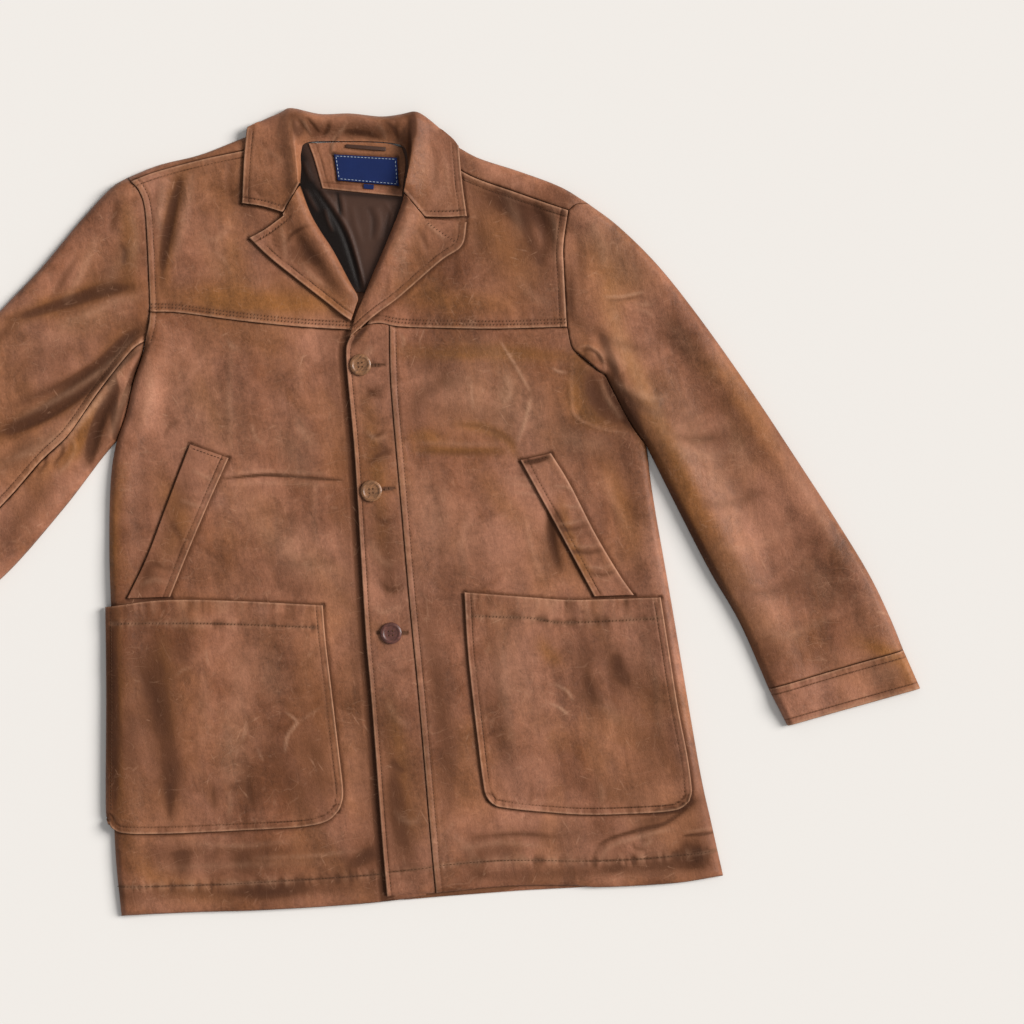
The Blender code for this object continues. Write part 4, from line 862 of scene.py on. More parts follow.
def woven(name, color, thread, contrast, roughness, gloss=0.2):
    """Cloth with a fine weave, such as the satin lining or the label, with painted shade and painted
    highlight from the marks.
    """
    nodes = Nodes(name)
    coords = nodes.add("TexCoord", output=3)
    painted_highlight, dark, _ = nodes.marks()
    keys = {"Vector": coords, "Scale": thread, "Distortion": 0.3}
    wefts, warps = (nodes.add("TexWave", keys, 1, bands_direction=way) for way in "YX")
    weave = nodes.math("MULTIPLY", wefts, warps)
    shade = nodes.noise(coords, 60, 4)
    light = tuple(min(1.0, contrast * value) for value in color)
    base = nodes.mix(nodes.span(shade, 0.3, 0.7, 0.0, 0.7), color, light)
    base = nodes.mix(nodes.math("MULTIPLY", weave, 0.25), base, light)
    # Painted shade where the marks are dark, such as the lining's shadowed side
    base = nodes.mix(dark, base, tuple(0.10 * value for value in color))
    # Painted highlight on the ridges of the folds
    base = nodes.mix(painted_highlight, base, tuple(min(1.0, 1.8 * contrast * value) for value in color))
    nodes.finish(base, roughness, gloss)
    nodes.bump(weave, 0.3, 0.0002)
    return nodes.material


def horn(name, color):
    """Streaked horn of a button."""
    nodes = Nodes(name)
    coords = nodes.add("TexCoord", output=3)
    swirl = nodes.noise(nodes.drawn_out(coords, 2.5, 0.6), 400, 4, 0.6, 1.5)
    fine = nodes.noise(coords, 900, 3, 0.6)
    light = tuple(min(1.0, 1.7 * value) for value in color)
    dark = tuple(0.45 * value for value in color)
    base = nodes.mix(nodes.span(swirl, 0.3, 0.7), dark, light)
    base = nodes.mix(nodes.span(fine, 0.55, 0.75, 0.0, 0.4), base, light)
    nodes.finish(base, nodes.span(fine, 0.3, 0.7, 0.28, 0.5))
    nodes.bump(fine, 0.25, 0.0003)
    return nodes.material


BODY_LEATHER = leather("leather_body")
SLEEVE_LEATHER = leather("leather_sleeve")
COLLAR_LEATHER = leather("leather_collar", 0.98, 0.2)
SATIN_CLOTH = woven("satin", (0.056, 0.027, 0.018), 900.0, 1.25, 0.42, 0.14)
LABEL_CLOTH = woven("label", (0.004, 0.013, 0.070), 1400.0, 1.3, 0.75)
THREAD = woven("thread", (0.066, 0.027, 0.012), 2500.0, 1.5, 0.8)
LABEL_THREAD = woven("label_thread", (0.28, 0.33, 0.40), 2500.0, 1.2, 0.8)


def in_scene(name, data):
    """A new object for a mesh, light or camera, in the scene."""
    thing = bpy.data.objects.new(name, data)
    bpy.context.scene.collection.objects.link(thing)
    return thing


def add_object(name, vertices, faces, material, marks=None):
    mesh = bpy.data.meshes.new(name)
    mesh.from_pydata(vertices, [], faces)
    if marks is not None:
        layer = mesh.color_attributes.new("marks", "FLOAT_COLOR", "POINT")
        layer.data.foreach_set("color", np.column_stack([marks, np.ones(len(marks))]).astype("f").ravel())
    mesh.shade_smooth()
    mesh.materials.append(material)
    piece = in_scene(name, mesh)
    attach(piece, "root")
    return piece


RIM_ROWS = 7
NARROW_ROWS = 28


def add_shell(name, points, wall, material, marks):
    """A sheet from its grid of points: the upper face, the cut edge and the underside near it.

    A narrow sheet has its whole underside.
    """
    rows, columns = points.shape[:2]
    normal = np.cross(np.gradient(points, axis=1), np.gradient(points, axis=0))
    facing = 1.0 if normal[..., 2].sum() > 0 else -1.0
    normal *= facing / np.linalg.norm(normal, axis=-1, keepdims=True)
    inner = points - wall * normal
    inner[..., 2] = np.maximum(inner[..., 2], LOWEST_UNDERSIDE)
    index = np.arange(rows * columns).reshape(rows, columns)
    quads = np.stack([index[:-1, :-1], index[:-1, 1:], index[1:, 1:], index[1:, :-1]], -1)
    row, column = np.meshgrid(np.arange(rows - 1), np.arange(columns - 1), indexing="ij")
    depth = np.minimum(np.minimum(row, rows - 2 - row), np.minimum(column, columns - 2 - column))
    count = rows * columns
    below = quads[depth < (RIM_ROWS if min(rows, columns) > NARROW_ROWS else rows)][:, ::-1] + count
    ring = np.concatenate([index[0], index[1:, -1], index[-1, -2::-1], index[-2::-1, 0]])
    rim = np.column_stack([ring[1:], ring[:-1], ring[:-1] + count, ring[1:] + count])
    faces = np.vstack([quads.reshape(-1, 4), below, rim])
    if facing > 0:
        faces = faces[:, ::-1]
    used, faces = np.unique(faces, return_inverse=True)
    vertices = np.vstack([points.reshape(-1, 3), inner.reshape(-1, 3)])[used]
    marks = np.vstack([marks.reshape(-1, 3)] * 2)[used]
    return add_object(name, vertices.tolist(), faces.reshape(-1, 4).tolist(), material, marks)


# Ochre stains, dark smudges and pale marks: strength, half width in millimetres, then photo points. The
# smudges are partly darker tone, partly painted shadow under edges, in folds and round the armpit.
STAINS = creases(
    (1.0, 8, 400, 352, 440, 353, 500, 352, 575, 358), (0.9, 5, 458, 424, 485, 428, 508, 440, 516, 456),
    (1.0, 4, 414, 450, 450, 451, 503, 451), (0.7, 8, 408, 440, 425, 436, 440, 442),
    (1.0, 12, 580, 362, 580, 395, 590, 412, 620, 428), (0.8, 14, 160, 296, 240, 300, 340, 305),
    (0.5, 14, 230, 230, 235, 270, 245, 300), (0.9, 8, 185, 170, 172, 210, 162, 290),
    (0.8, 10, 125, 200, 130, 240, 128, 280), (0.9, 9, 0, 322, 20, 318, 60, 303, 100, 290, 140, 285),
    (0.8, 10, 145, 325, 120, 345, 100, 370, 70, 395, 40, 415, 0, 435),
    (0.9, 10, 110, 390, 90, 420, 75, 450, 45, 470), (0.7, 8, 539, 640, 550, 655, 561, 664),
    (1.0, 11, 609, 290, 617, 332, 629, 360, 645, 394, 665, 439, 700, 510, 740, 580),
    (0.6, 18, 570, 240, 600, 262, 640, 300), (0.5, 14, 700, 350, 740, 400, 790, 480),
    (0.8, 8, 615, 385, 640, 430, 700, 540, 750, 640), (0.7, 14, 160, 480, 180, 520, 165, 560),
    (1.0, 6, 117, 610, 117, 700, 119, 815), (0.9, 9, 163, 636, 162, 680, 168, 745),
    (0.7, 26, 480, 200, 500, 240, 540, 290), (0.6, 14, 400, 290, 440, 300, 520, 305),
    (0.4, 12, 480, 470, 500, 500, 530, 530), (0.8, 7, 560, 500, 570, 540, 590, 580),
    (0.5, 12, 600, 450, 620, 500, 640, 560), (0.8, 8, 120, 470, 112, 540, 114, 595),
    (0.6, 8, 366, 400, 376, 460, 384, 560), (0.9, 9, 860, 640, 900, 660, 915, 685),
    (0.5, 9, 390, 690, 400, 760, 408, 850), (0.6, 14, 128, 850, 160, 880, 240, 900),
)
# Darker tone and painted shadow: under edges, in folds, round the armpit and beside the collar stand
SMUDGES_AND_SHADE = creases(
    (0.9, 3.5, 414, 110, 413.5, 124, 411, 142, 409, 160), (0.45, 3.5, 293, 112, 294.5, 126, 299, 141),
    (0.32, 8, 296, 132, 350, 131, 408, 132), (0.55, 1.8, 338, 136, 332, 145, 330, 155),
    (0.45, 2.2, 384, 122, 392, 127, 398, 136), (0.42, 9, 296, 228, 310, 250, 330, 276, 346, 296),
    (0.35, 2, 276, 228, 279, 244, 282, 262), (0.45, 2.2, 284, 246, 294, 233, 310, 226),
    (0.3, 13, 470, 192, 505, 206, 552, 224), (0.3, 9, 250, 175, 246, 205, 262, 225),
    (0.16, 16, 400, 420, 440, 410, 520, 420), (0.22, 10, 405, 360, 430, 365, 450, 380),
    (0.16, 22, 560, 430, 600, 450, 640, 470), (0.26, 11, 420, 560, 428, 640, 446, 740, 450, 820),
    (0.18, 14, 150, 450, 135, 520, 130, 590), (0.14, 14, 230, 560, 280, 585, 340, 590),
    (0.2, 17, 690, 420, 735, 475, 790, 540), (0.16, 20, 740, 560, 790, 580, 850, 600),
    (0.3, 12, 600, 845, 612, 858, 620, 872), (0.3, 12, 470, 855, 480, 868, 484, 880),
    (0.35, 12, 680, 835, 690, 850, 700, 868), (0.85, 4, 604, 374, 614, 398, 632, 430),
    (0.4, 11, 588, 368, 592, 394, 602, 410, 624, 426), (1.0, 2, 369, 365.2, 374, 365.1, 379, 365),
    (1.0, 2, 382, 489.7, 387, 489.2, 391, 488.5), (0.8, 1.6, 401, 632.7, 404, 632.6, 408, 632.5),
    (0.22, 30, 470, 205, 500, 240, 545, 300), (0.3, 14, 480, 185, 520, 205, 560, 220),
    (0.12, 20, 440, 240, 440, 270, 420, 300), (0.25, 16, 140, 240, 120, 270, 80, 300),
    (0.15, 22, 0, 370, 40, 360, 80, 345), (0.35, 9, 0, 470, 30, 450, 60, 440),
    (0.22, 16, 0, 545, 30, 510, 60, 480), (0.12, 24, 660, 400, 700, 420, 750, 440),
    (0.2, 16, 700, 520, 740, 600, 780, 660), (0.12, 16, 860, 630, 820, 650, 780, 660),
    (0.3, 12, 380, 700, 396, 780, 406, 860), (0.25, 9, 372, 520, 384, 560, 390, 600),
    (0.18, 12, 430, 600, 440, 700, 452, 820),
    (0.75, 6, 600, 330, 604, 342, 612, 362, 620, 388, 640, 430, 653, 456),
    (0.45, 6, 571, 262, 571, 290, 573, 318, 590, 330), (0.5, 6, 653, 456, 690, 530, 720, 590, 768, 684),
    (0.9, 3, 522, 462, 536, 461, 551, 456), (0.9, 3, 368, 326, 360, 334, 353, 345),
    (0.35, 5, 364, 400, 374, 392, 386, 386), (0.5, 2.5, 366, 436, 376, 436, 386, 430),
    (0.5, 4, 368, 466, 378, 456, 390, 452), (0.25, 9, 376, 500, 390, 540, 396, 600),
    (0.75, 7, 113, 606, 113, 700, 115, 825), (0.34, 13, 161, 630, 160, 680, 168, 740, 178, 790),
    (0.22, 11, 210, 770, 213, 792, 212, 812), (0.28, 11, 169, 760, 170, 795, 172, 822),
    (0.35, 10, 247, 760, 249, 790, 254, 814), (0.28, 36, 140, 615, 150, 720, 170, 810),
    (0.25, 9, 185, 612, 184, 640, 182, 680), (0.28, 20, 265, 745, 290, 790, 310, 810),
    (0.16, 25, 300, 640, 310, 700, 310, 800), (0.22, 12, 492, 640, 500, 720, 510, 800),
    (0.18, 16, 640, 640, 655, 720, 665, 790), (0.2, 14, 560, 770, 600, 790, 650, 800),
    (0.25, 16, 300, 730, 320, 760, 320, 800), (0.2, 22, 560, 640, 600, 660, 640, 690),
    (0.12, 14, 125, 848, 220, 850, 360, 845), (0.35, 12, 178, 848, 182, 862, 180, 880),
    (0.3, 14, 240, 850, 246, 866, 250, 880), (0.5, 9, 345, 870, 362, 858, 378, 850),
    (0.35, 12, 240, 892, 262, 892, 300, 890), (0.4, 9, 122, 893, 250, 892, 383, 884),
    (0.4, 8, 640, 824, 670, 812, 698, 800), (0.3, 9, 470, 850, 490, 852, 520, 856),
    (0.3, 14, 640, 862, 670, 860, 715, 852), (0.35, 8, 445, 878, 560, 873, 720, 864),
    (0.3, 8, 414, 425, 416, 402, 440, 384, 470, 376), (0.4, 9, 583, 672, 590, 690, 598, 708),
    (0.4, 9, 612, 650, 620, 668, 629, 690), (0.35, 10, 284, 245, 296, 254, 312, 266),
    (1.0, 3, 142, 347, 117, 369, 114, 384, 115, 438),
    (0.95, 2.5, 147, 345, 134.5, 371, 121.5, 410, 115, 438), (1.0, 5, 110, 380, 113, 386, 116, 394),
    (0.6, 7, 145, 325, 120, 345, 100, 370, 70, 395, 40, 415, 0, 435),
    (0.4, 5, 0, 319, 20, 317, 60, 304, 100, 292, 140, 286), (0.45, 6, 110, 392, 97, 425, 88, 455),
    (0.55, 5, 183, 172, 172, 210, 165, 250, 160, 300),
    (0.5, 1.6, 222, 479, 250, 476, 273, 475, 310, 478, 343, 480), (0.4, 8, 500, 190, 522, 222, 541, 266),
    (0.35, 4, 553, 212, 556, 240, 556, 270), (0.4, 8, 150, 560, 146, 580, 140, 594),
    (0.4, 5, 556, 505, 566, 545, 586, 585), (0.4, 5, 298, 112, 302, 125, 300, 138),
    (0.5, 5, 405, 112, 412, 124, 415, 140), (0.4, 3, 345, 132, 365, 134, 384, 139),
    (0.3, 14, 195, 430, 180, 500, 155, 575), (0.26, 12, 131, 700, 130, 750, 134, 805),
    (0.34, 20, 385, 770, 395, 820, 410, 870), (0.3, 14, 698, 760, 705, 810, 712, 862),
    (0.3, 13, 740, 370, 792, 450, 832, 520), (0.16, 14, 262, 262, 284, 290, 300, 306),
    (0.2, 14, 450, 838, 560, 836, 690, 826), (0.18, 18, 132, 862, 240, 864, 366, 858),
    (0.3, 10, 106, 880, 122, 896, 146, 904), (0.2, 18, 620, 700, 640, 740, 650, 790),
    (0.24, 13, 126, 378, 110, 420, 100, 458),
)
PALE_MARKS = creases(
    (0.5, 3, 792, 724, 855, 706, 918, 688), (0.22, 26, 405, 470, 440, 520, 470, 560),
    (0.2, 18, 470, 340, 500, 360, 520, 400), (0.2, 26, 170, 340, 200, 400, 250, 440),
    (0.24, 12, 250, 520, 300, 560, 345, 575), (0.22, 14, 238, 640, 240, 700, 238, 760),
    (0.2, 20, 500, 640, 520, 690, 540, 740), (0.2, 18, 720, 560, 760, 620, 800, 660),
    (0.6, 6, 505, 374, 507, 388, 504, 403), (0.34, 28, 440, 385, 490, 400, 545, 425),
    (0.2, 18, 200, 210, 215, 250, 225, 280), (0.2, 22, 240, 500, 290, 540, 320, 580),
    (0.25, 10, 425, 155, 435, 180, 440, 205), (0.25, 16, 660, 420, 700, 470, 740, 520),
    (0.6, 1.3, 500, 341, 513, 362, 530, 391), (0.8, 1.5, 531, 397, 526, 418, 518, 441),
    (0.7, 1.2, 471.5, 379, 472, 395, 473, 408), (0.5, 3, 228, 340, 232, 346, 238, 349),
    (0.5, 2, 252, 425, 255, 436, 263, 444), (0.4, 6, 294, 414, 304, 432, 314, 447),
    (0.5, 2, 400, 334, 404, 340, 402, 347), (0.5, 1.5, 552, 368, 558, 371, 566, 372),
    (0.8, 1.4, 286, 712, 297, 722, 288, 735, 285, 752), (0.35, 1.6, 297, 723, 308, 716, 321, 707),
    (0.6, 1.4, 246, 721, 245, 731, 243, 740), (0.5, 1.4, 258, 748, 260, 754, 263, 760),
    (0.5, 1.5, 206, 650, 207, 658, 209, 665), (0.35, 1.5, 176, 676, 183, 670, 192, 667),
    (0.28, 14, 225, 720, 228, 755, 234, 790), (0.22, 18, 262, 650, 270, 680, 280, 700),
    (0.6, 1.4, 554, 684, 566, 690, 573, 700), (0.6, 1.4, 549, 703, 560, 708, 568, 715),
    (0.5, 11, 609, 280, 617, 332, 629, 360, 645, 394, 665, 439), (0.42, 18, 585, 225, 610, 255, 640, 290),
    (0.5, 1.4, 604, 296, 620, 296, 644, 292), (0.8, 1.2, 877, 612, 884, 613, 890, 616),
    (0.2, 8, 140, 240, 120, 262, 104, 290), (0.22, 14, 40, 340, 90, 322, 140, 310),
    (0.4, 4, 148, 345, 130, 356, 105, 392, 75, 430, 52, 455), (0.25, 8, 600, 702, 612, 712, 622, 724),
    (0.26, 15, 274, 430, 294, 455, 306, 478), (0.32, 11, 722, 420, 737, 445, 748, 470),
    (0.26, 9, 660, 312, 679, 335, 694, 356), (0.28, 10, 868, 672, 885, 675, 902, 671),
    (0.2, 15, 800, 560, 820, 580, 840, 602), (0.26, 11, 560, 438, 582, 442, 606, 447),
)


def tinted(plan, places):
    """How strongly a table of marks colours each plan point."""
    total = np.zeros(plan.shape[:-1])
    for mark in places:
        gap, along = near(plan, smooth(mark.line, 24), 3 * mark.width * MM)
        fade = np.sin(math.pi * np.clip(along, 0.02, 0.98)) ** 0.4
        total += mark.height * fade * np.exp(-((gap / (mark.width * MM)) ** 2))
    return total


PALE_STRENGTH = 1.25
SMUDGE_AND_SHADE_STRENGTH = 1.35


def add_sheet(name, plan, skin, wall, material):
    """A piece of the coat over its plan, replacing its CAD node.
    """
    height, wear_and_highlight, shade_and_smudge = surface(skin, plan)
    # The lining takes painted shadow from LINING_SHADE; the leather takes pale marks and the smudges with
    # their painted shade
    if material is SATIN_CLOTH:
        wear_and_highlight, shade_and_smudge = 0.35 * wear_and_highlight, 0.7 * shade_and_smudge + tinted(plan, LINING_SHADE)
    else:
        wear_and_highlight = wear_and_highlight + PALE_STRENGTH * tinted(plan, PALE_MARKS)
        shade_and_smudge = shade_and_smudge + SMUDGE_AND_SHADE_STRENGTH * tinted(plan, SMUDGES_AND_SHADE)
    marks = np.stack([wear_and_highlight, shade_and_smudge, tinted(plan, STAINS)], -1).clip(0, 1)
    points = np.concatenate([plan, height[..., None]], -1)
    piece = add_shell(name + "_cloth", points, wall, material, marks)
    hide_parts(name)
    return piece


SIDES = ("top", "bottom", "left", "right")


def laid_plan(edges, spacing=GRID):
    return patch(*(smooth(edges[side]) for side in SIDES), spacing=spacing)


def edge(line, profile, pucker=0.0):
    return Edge(smooth(line) if isinstance(line, list) else line, profile, pucker)


STITCH_LENGTH = 0.0026
STITCH_PITCH = 0.0036
STITCH_RADIUS = 0.00042
STITCH_LIFT = 0.00010

# Distances of stitch rows from seams and edges, in millimetres
SEAM_STITCH = 6.9
EDGE_STITCH = 7.2
FOOT_STITCH = 6.6
TICK_TURN = math.radians(68)


def stitches(name, skin, lines, ticks=(), material=THREAD):
    """Rows of thread stitches in the leather, along their lines or as short ticks across them."""
    turns = np.linspace(0, 2 * math.pi, 5, endpoint=False)
    steps = [(-0.5, 0.35), (-0.3, 1.0), (0.3, 1.0), (0.5, 0.35)]
    ring = np.array([
        [share * STITCH_LENGTH, size * STITCH_RADIUS * math.cos(turn), size * STITCH_RADIUS * math.sin(turn)]
        for share, size in steps for turn in turns
    ])
    sides = len(turns)
    quads = [
        (row * sides + side, row * sides + (side + 1) % sides,
         (row + 1) * sides + (side + 1) % sides, (row + 1) * sides + side)
        for row in range(len(steps) - 1) for side in range(sides)
    ]
    ends = [tuple(range(sides))[::-1], tuple(range(len(ring) - sides, len(ring)))]
    vertices, faces = [], []
    for line, turn in [(line, 0.0) for line in lines] + [(line, TICK_TURN) for line in ticks]:
        count = max(1, int(length_of(line) / STITCH_PITCH))
        middles = at(line, (np.arange(count) + 0.5) / count)
        heights = surface(skin, middles)[0] + STITCH_LIFT
        runs = at(line, (np.arange(count) + 0.6) / count) - at(line, (np.arange(count) + 0.4) / count)
        runs /= np.hypot(*runs.T)[:, None]
        cosine, sine = math.cos(turn), math.sin(turn)
        for middle, height, (x, y) in zip(middles, heights, runs):
            x, y = x * cosine - y * sine, x * sine + y * cosine
            start = len(vertices)
            spots = ring @ np.array([[x, y, 0], [-y, x, 0], [0, 0, 1]])
            vertices.extend((spots + [*middle, height]).tolist())
            faces.extend(tuple(start + corner for corner in face) for face in quads + ends)
    return add_object(name, vertices, faces, material)


def beside(*outlines):
    """The dip in a piece round each piece that lies on it, with painted shadow along it."""
    return [edge(outline[side], UNDER) for outline in outlines for side in SIDES]


def row(line, amount, start=0.0, end=1.0):
    """A stitch row at a distance from a seam, between two fractions of its length."""
    line = smooth(line) if isinstance(line, list) else line
    return inset(at(line, np.linspace(start, end, 120)), amount * MM)


def make_yokes():
    lines_right = FORWARD_SEAM_RIGHT, YOKE_SEAM_RIGHT, ARMHOLE_YOKE_RIGHT, YOKE_INNER_RIGHT
    lines_left = FORWARD_SEAM_LEFT, YOKE_SEAM_LEFT, ARMHOLE_YOKE_LEFT, YOKE_INNER_LEFT
    over_right = COLLAR_LEAF_RIGHT, COLLAR_FOOT_RIGHT, LAPEL_TOP_RIGHT, LAPEL_LOW_RIGHT
    over_left = COLLAR_LEAF_LEFT, COLLAR_FOOT_LEFT, LAPEL_LOW_LEFT
    for side, (forward, seam, arm, inner), base, way, over in (
        ("right", lines_right, body_right, 1, over_right),
        ("left", lines_left, body_left, -1, over_left),
    ):
        edges = [edge(forward, LIP_ONE_ROW, 0.12), edge(seam, LIP_TWO_ROWS, 0.35)]
        edges += [edge(arm, LIP_ONE_ROW, 0.12)] + [edge(line, UNDER) for line in over]
        skin = Skin(base, edges, BODY_CREASES)
        left, right = (arm, inner) if way > 0 else (inner, arm)
        plan = patch(smooth(forward), smooth(seam), smooth(left), smooth(right))
        add_sheet(f"yoke_{side}", plan, skin, LEATHER, BODY_LEATHER)
        start = 0.0 if way > 0 else 0.08
        ticks = [row(seam, 4.6, start), row(seam, 8.3, start)]
        rows = [row(arm, SEAM_STITCH * way), row(forward, -SEAM_STITCH)]
        stitches(f"stitches_yoke_{side}", skin, rows, ticks)


def make_back_hem():
    """The strip of the back's hem that shows below the left front."""
    plan = laid_plan(BACK_HEM)
    points = np.concatenate([plan, np.full((*plan.shape[:-1], 1), BACK_HEM_TOP)], -1)
    marks = np.zeros(points.shape) + (0.1, 0.5, 0.3)
    return add_shell("back_hem", points, LEATHER, BODY_LEATHER, marks)


def make_back_yokes():
    for side, shoulder, seam, base in (
        ("right", smooth(SHOULDER_RIGHT)[::-1], FORWARD_SEAM_RIGHT, body_right),
        ("left", smooth(SHOULDER_LEFT), FORWARD_SEAM_LEFT, body_left),
    ):
        line = smooth(seam)
        first, last = (np.vstack([shoulder[end], line[end]]) for end in (0, -1))
        if side == "left":
            last = smooth(ARMHOLE_TIP_LEFT)
        skin = Skin(base, [edge(seam, TUCKED, 0.15)], BODY_CREASES)
        plan = patch(shoulder, line, first, last, (0.0, SEAM_GAP, SEAM_GAP, SEAM_GAP))
        add_sheet(f"back_yoke_{side}", plan, skin, LEATHER, BODY_LEATHER)


HEM_STITCH_RIGHT = [(113, 887), (208, 885), (302, 880), (384, 874), (423, 870)]
HEM_STITCH_PLACKET = [(388, 872), (434, 867)]
HEM_STITCH_LEFT = [(433, 866), (505, 860.5), (602, 861), (675, 856), (719, 850)]


def hemmed(base, hem):
    """The same height, brought down to the back at the hem's folded edge."""
    line = smooth(hem)

    def height(plan):
        top = base(plan)
        low = np.minimum(top, HEM_TOP)
        return low + (top - low) * rounded(distance(plan, line)[0], HEM_RADIUS)

    return height


def make_fronts():
    top = joined(YOKE_SEAM_RIGHT, [(355, 330.2), (382, 331)])
    side = joined(ARMHOLE_LOW_RIGHT, SIDE_RIGHT)
    edges = [
        edge(YOKE_SEAM_RIGHT, TUCKED, 0.2), edge(ARMHOLE_LOW_RIGHT, LIP_ONE_ROW, 0.1),
        edge(HEM_STITCH_RIGHT, GROOVE, 0.5), edge(HEM_RIGHT, CUT, 0.2), edge(FRONT_EDGE, SHADE),
    ]
    edges += beside(POCKET_RIGHT, WELT_RIGHT)
    skin = Skin(hemmed(body_right, HEM_RIGHT), edges, BODY_CREASES)
    plan = patch(top, smooth(HEM_RIGHT), side, smooth(UNDERLAP_EDGE), (SEAM_GAP, 0.0, 0.0, 0.0))
    add_sheet("front_right", plan, skin, LEATHER, BODY_LEATHER)
    rows = [row(HEM_STITCH_RIGHT, 0.0, 0.01, 0.86), row(ARMHOLE_LOW_RIGHT, SEAM_STITCH)]
    stitches("stitches_front_right", skin, rows)
    start = YOKE_SEAM_LEFT.index((400, 327))
    top_points = [(389.6, 325.3)] + YOKE_SEAM_LEFT[start:]
    side = joined(ARMHOLE_LOW_LEFT, UNDERARM_LEFT, SIDE_LEFT)
    edges = [
        edge(top_points, TUCKED, 0.2), edge(PLACKET_SEAM, LIP_ONE_ROW, 0.15),
        edge(ARMHOLE_LOW_LEFT, CUT, 0.1), edge(HEM_STITCH_LEFT, GROOVE, 0.5), edge(HEM_LEFT, CUT, 0.2),
    ]
    edges += beside(POCKET_LEFT, WELT_LEFT)
    skin = Skin(hemmed(body_left, HEM_LEFT), edges, BODY_CREASES)
    plan = patch(
        smooth(top_points), smooth(HEM_LEFT), smooth(PLACKET_SEAM), side, (SEAM_GAP, 0.0, SEAM_GAP, 0.0)
    )
    add_sheet("front_left", plan, skin, LEATHER, BODY_LEATHER)
    rows = [row(HEM_STITCH_LEFT, 0.0, 0.02, 0.97), row(PLACKET_SEAM, SEAM_STITCH, 0.01)]
    stitches("stitches_front_left", skin, rows)


BUTTONHOLES = [
    [(369, 365.2), (376, 365), (384, 364.6)], [(381, 489.8), (387, 489), (394, 488)],
    [(377, 632.5), (391, 633), (407, 632.5)],
]


def make_placket():
    bottom = [FRONT_EDGE[-1], PLACKET_SEAM[-1]]
    edges = [edge(FRONT_EDGE, BOUND, 0.12), edge(PLACKET_SEAM, TUCKED, 0.15), edge(PLACKET_TOP, CUT)]
    edges += [edge(HEM_STITCH_PLACKET, GROOVE, 0.3)] + [edge(slit, SLIT) for slit in BUTTONHOLES]
    skin = Skin(hemmed(body_left, bottom), edges, PLACKET_CREASES)
    plan = patch(
        smooth(PLACKET_TOP), smooth(bottom), smooth(FRONT_EDGE), smooth(PLACKET_SEAM),
        (SEAM_GAP, 0.0, 0.0, SEAM_GAP),
    )
    add_sheet("placket_left", plan, skin, TWO_LAYERS, COLLAR_LEATHER)
    rows = [row(FRONT_EDGE, 5.2, 0.02, 0.99), row(HEM_STITCH_PLACKET, 0.0, 0.1, 0.95)]
    ticks = [row(slit, amount, 0.1, 0.8) for slit in BUTTONHOLES for amount in (-0.9, 0.9)]
    stitches("stitches_placket", skin, rows, ticks)


def make_sleeves():
    cap = joined(ARMHOLE_TIP_RIGHT, ARMHOLE_YOKE_RIGHT, ARMHOLE_LOW_RIGHT)
    outer = smooth(SLEEVE_RIGHT_OUTER, 240)
    inner = joined(SIDE_RIGHT[:5], SLEEVE_RIGHT_INNER)
    cuff_seam = np.linspace(outer[-1], inner[-1], 121)
    hind = smooth(HIND_SEAM_RIGHT, 240)
    reach = length_of(np.vstack([cuff_seam[0], hind[-1]])) / length_of(cuff_seam)
    split = int(reach * (len(cuff_seam) - 1))
    gaps = (SEAM_GAP, SEAM_GAP, 0.0, SEAM_GAP)
    edges = [edge(cap, TUCKED, 0.2), edge(hind, LIP_ONE_ROW, 0.25), edge(cuff_seam, TUCKED, 0.1)]
    skin = Skin(sleeve, edges, SLEEVE_CREASES)
    plan = patch(cap, at(cuff_seam[:split + 1], np.linspace(0, 1, 60)), outer, hind, gaps)
    add_sheet("sleeve_right_top", plan, skin, LEATHER, SLEEVE_LEATHER)
    stitches("stitches_sleeve_right", skin, [row(hind, -SEAM_STITCH, 0.05)])
    top = np.vstack([hind[0], inner[8]])
    rest = at(cuff_seam[split:], np.linspace(0, 1, 60))
    edges = [edge(hind, TUCKED, 0.25), edge(cuff_seam, TUCKED, 0.1)]
    skin = Skin(sleeve, edges, SLEEVE_CREASES)
    plan = patch(top, rest, hind, inner[8:], (SEAM_GAP, SEAM_GAP, SEAM_GAP, 0.0))
    add_sheet("sleeve_right_hind", plan, skin, LEATHER, SLEEVE_LEATHER)
    make_cuff("right", cuff_seam, smooth(CUFF_RIGHT_END), 1)
    cap = joined(ARMHOLE_TIP_LEFT, ARMHOLE_YOKE_LEFT)
    outer = smooth(SLEEVE_LEFT_OUTER, 240)
    inner = joined(ARMHOLE_LOW_LEFT, UNDERARM_LEFT, SLEEVE_LEFT_INNER)
    cuff_seam = np.linspace(outer[-1], inner[-1], 121)
    armhole = joined(ARMHOLE_TIP_LEFT, ARMHOLE_YOKE_LEFT, ARMHOLE_LOW_LEFT)
    skin = Skin(sleeve, [edge(armhole, TUCKED, 0.2), edge(cuff_seam, TUCKED, 0.1)], SLEEVE_CREASES)
    plan = patch(cap, cuff_seam, outer, inner, gaps)
    add_sheet("sleeve_left_top", plan, skin, LEATHER, SLEEVE_LEATHER)
    make_cuff("left", cuff_seam, smooth(CUFF_LEFT_END[::-1]), -1)


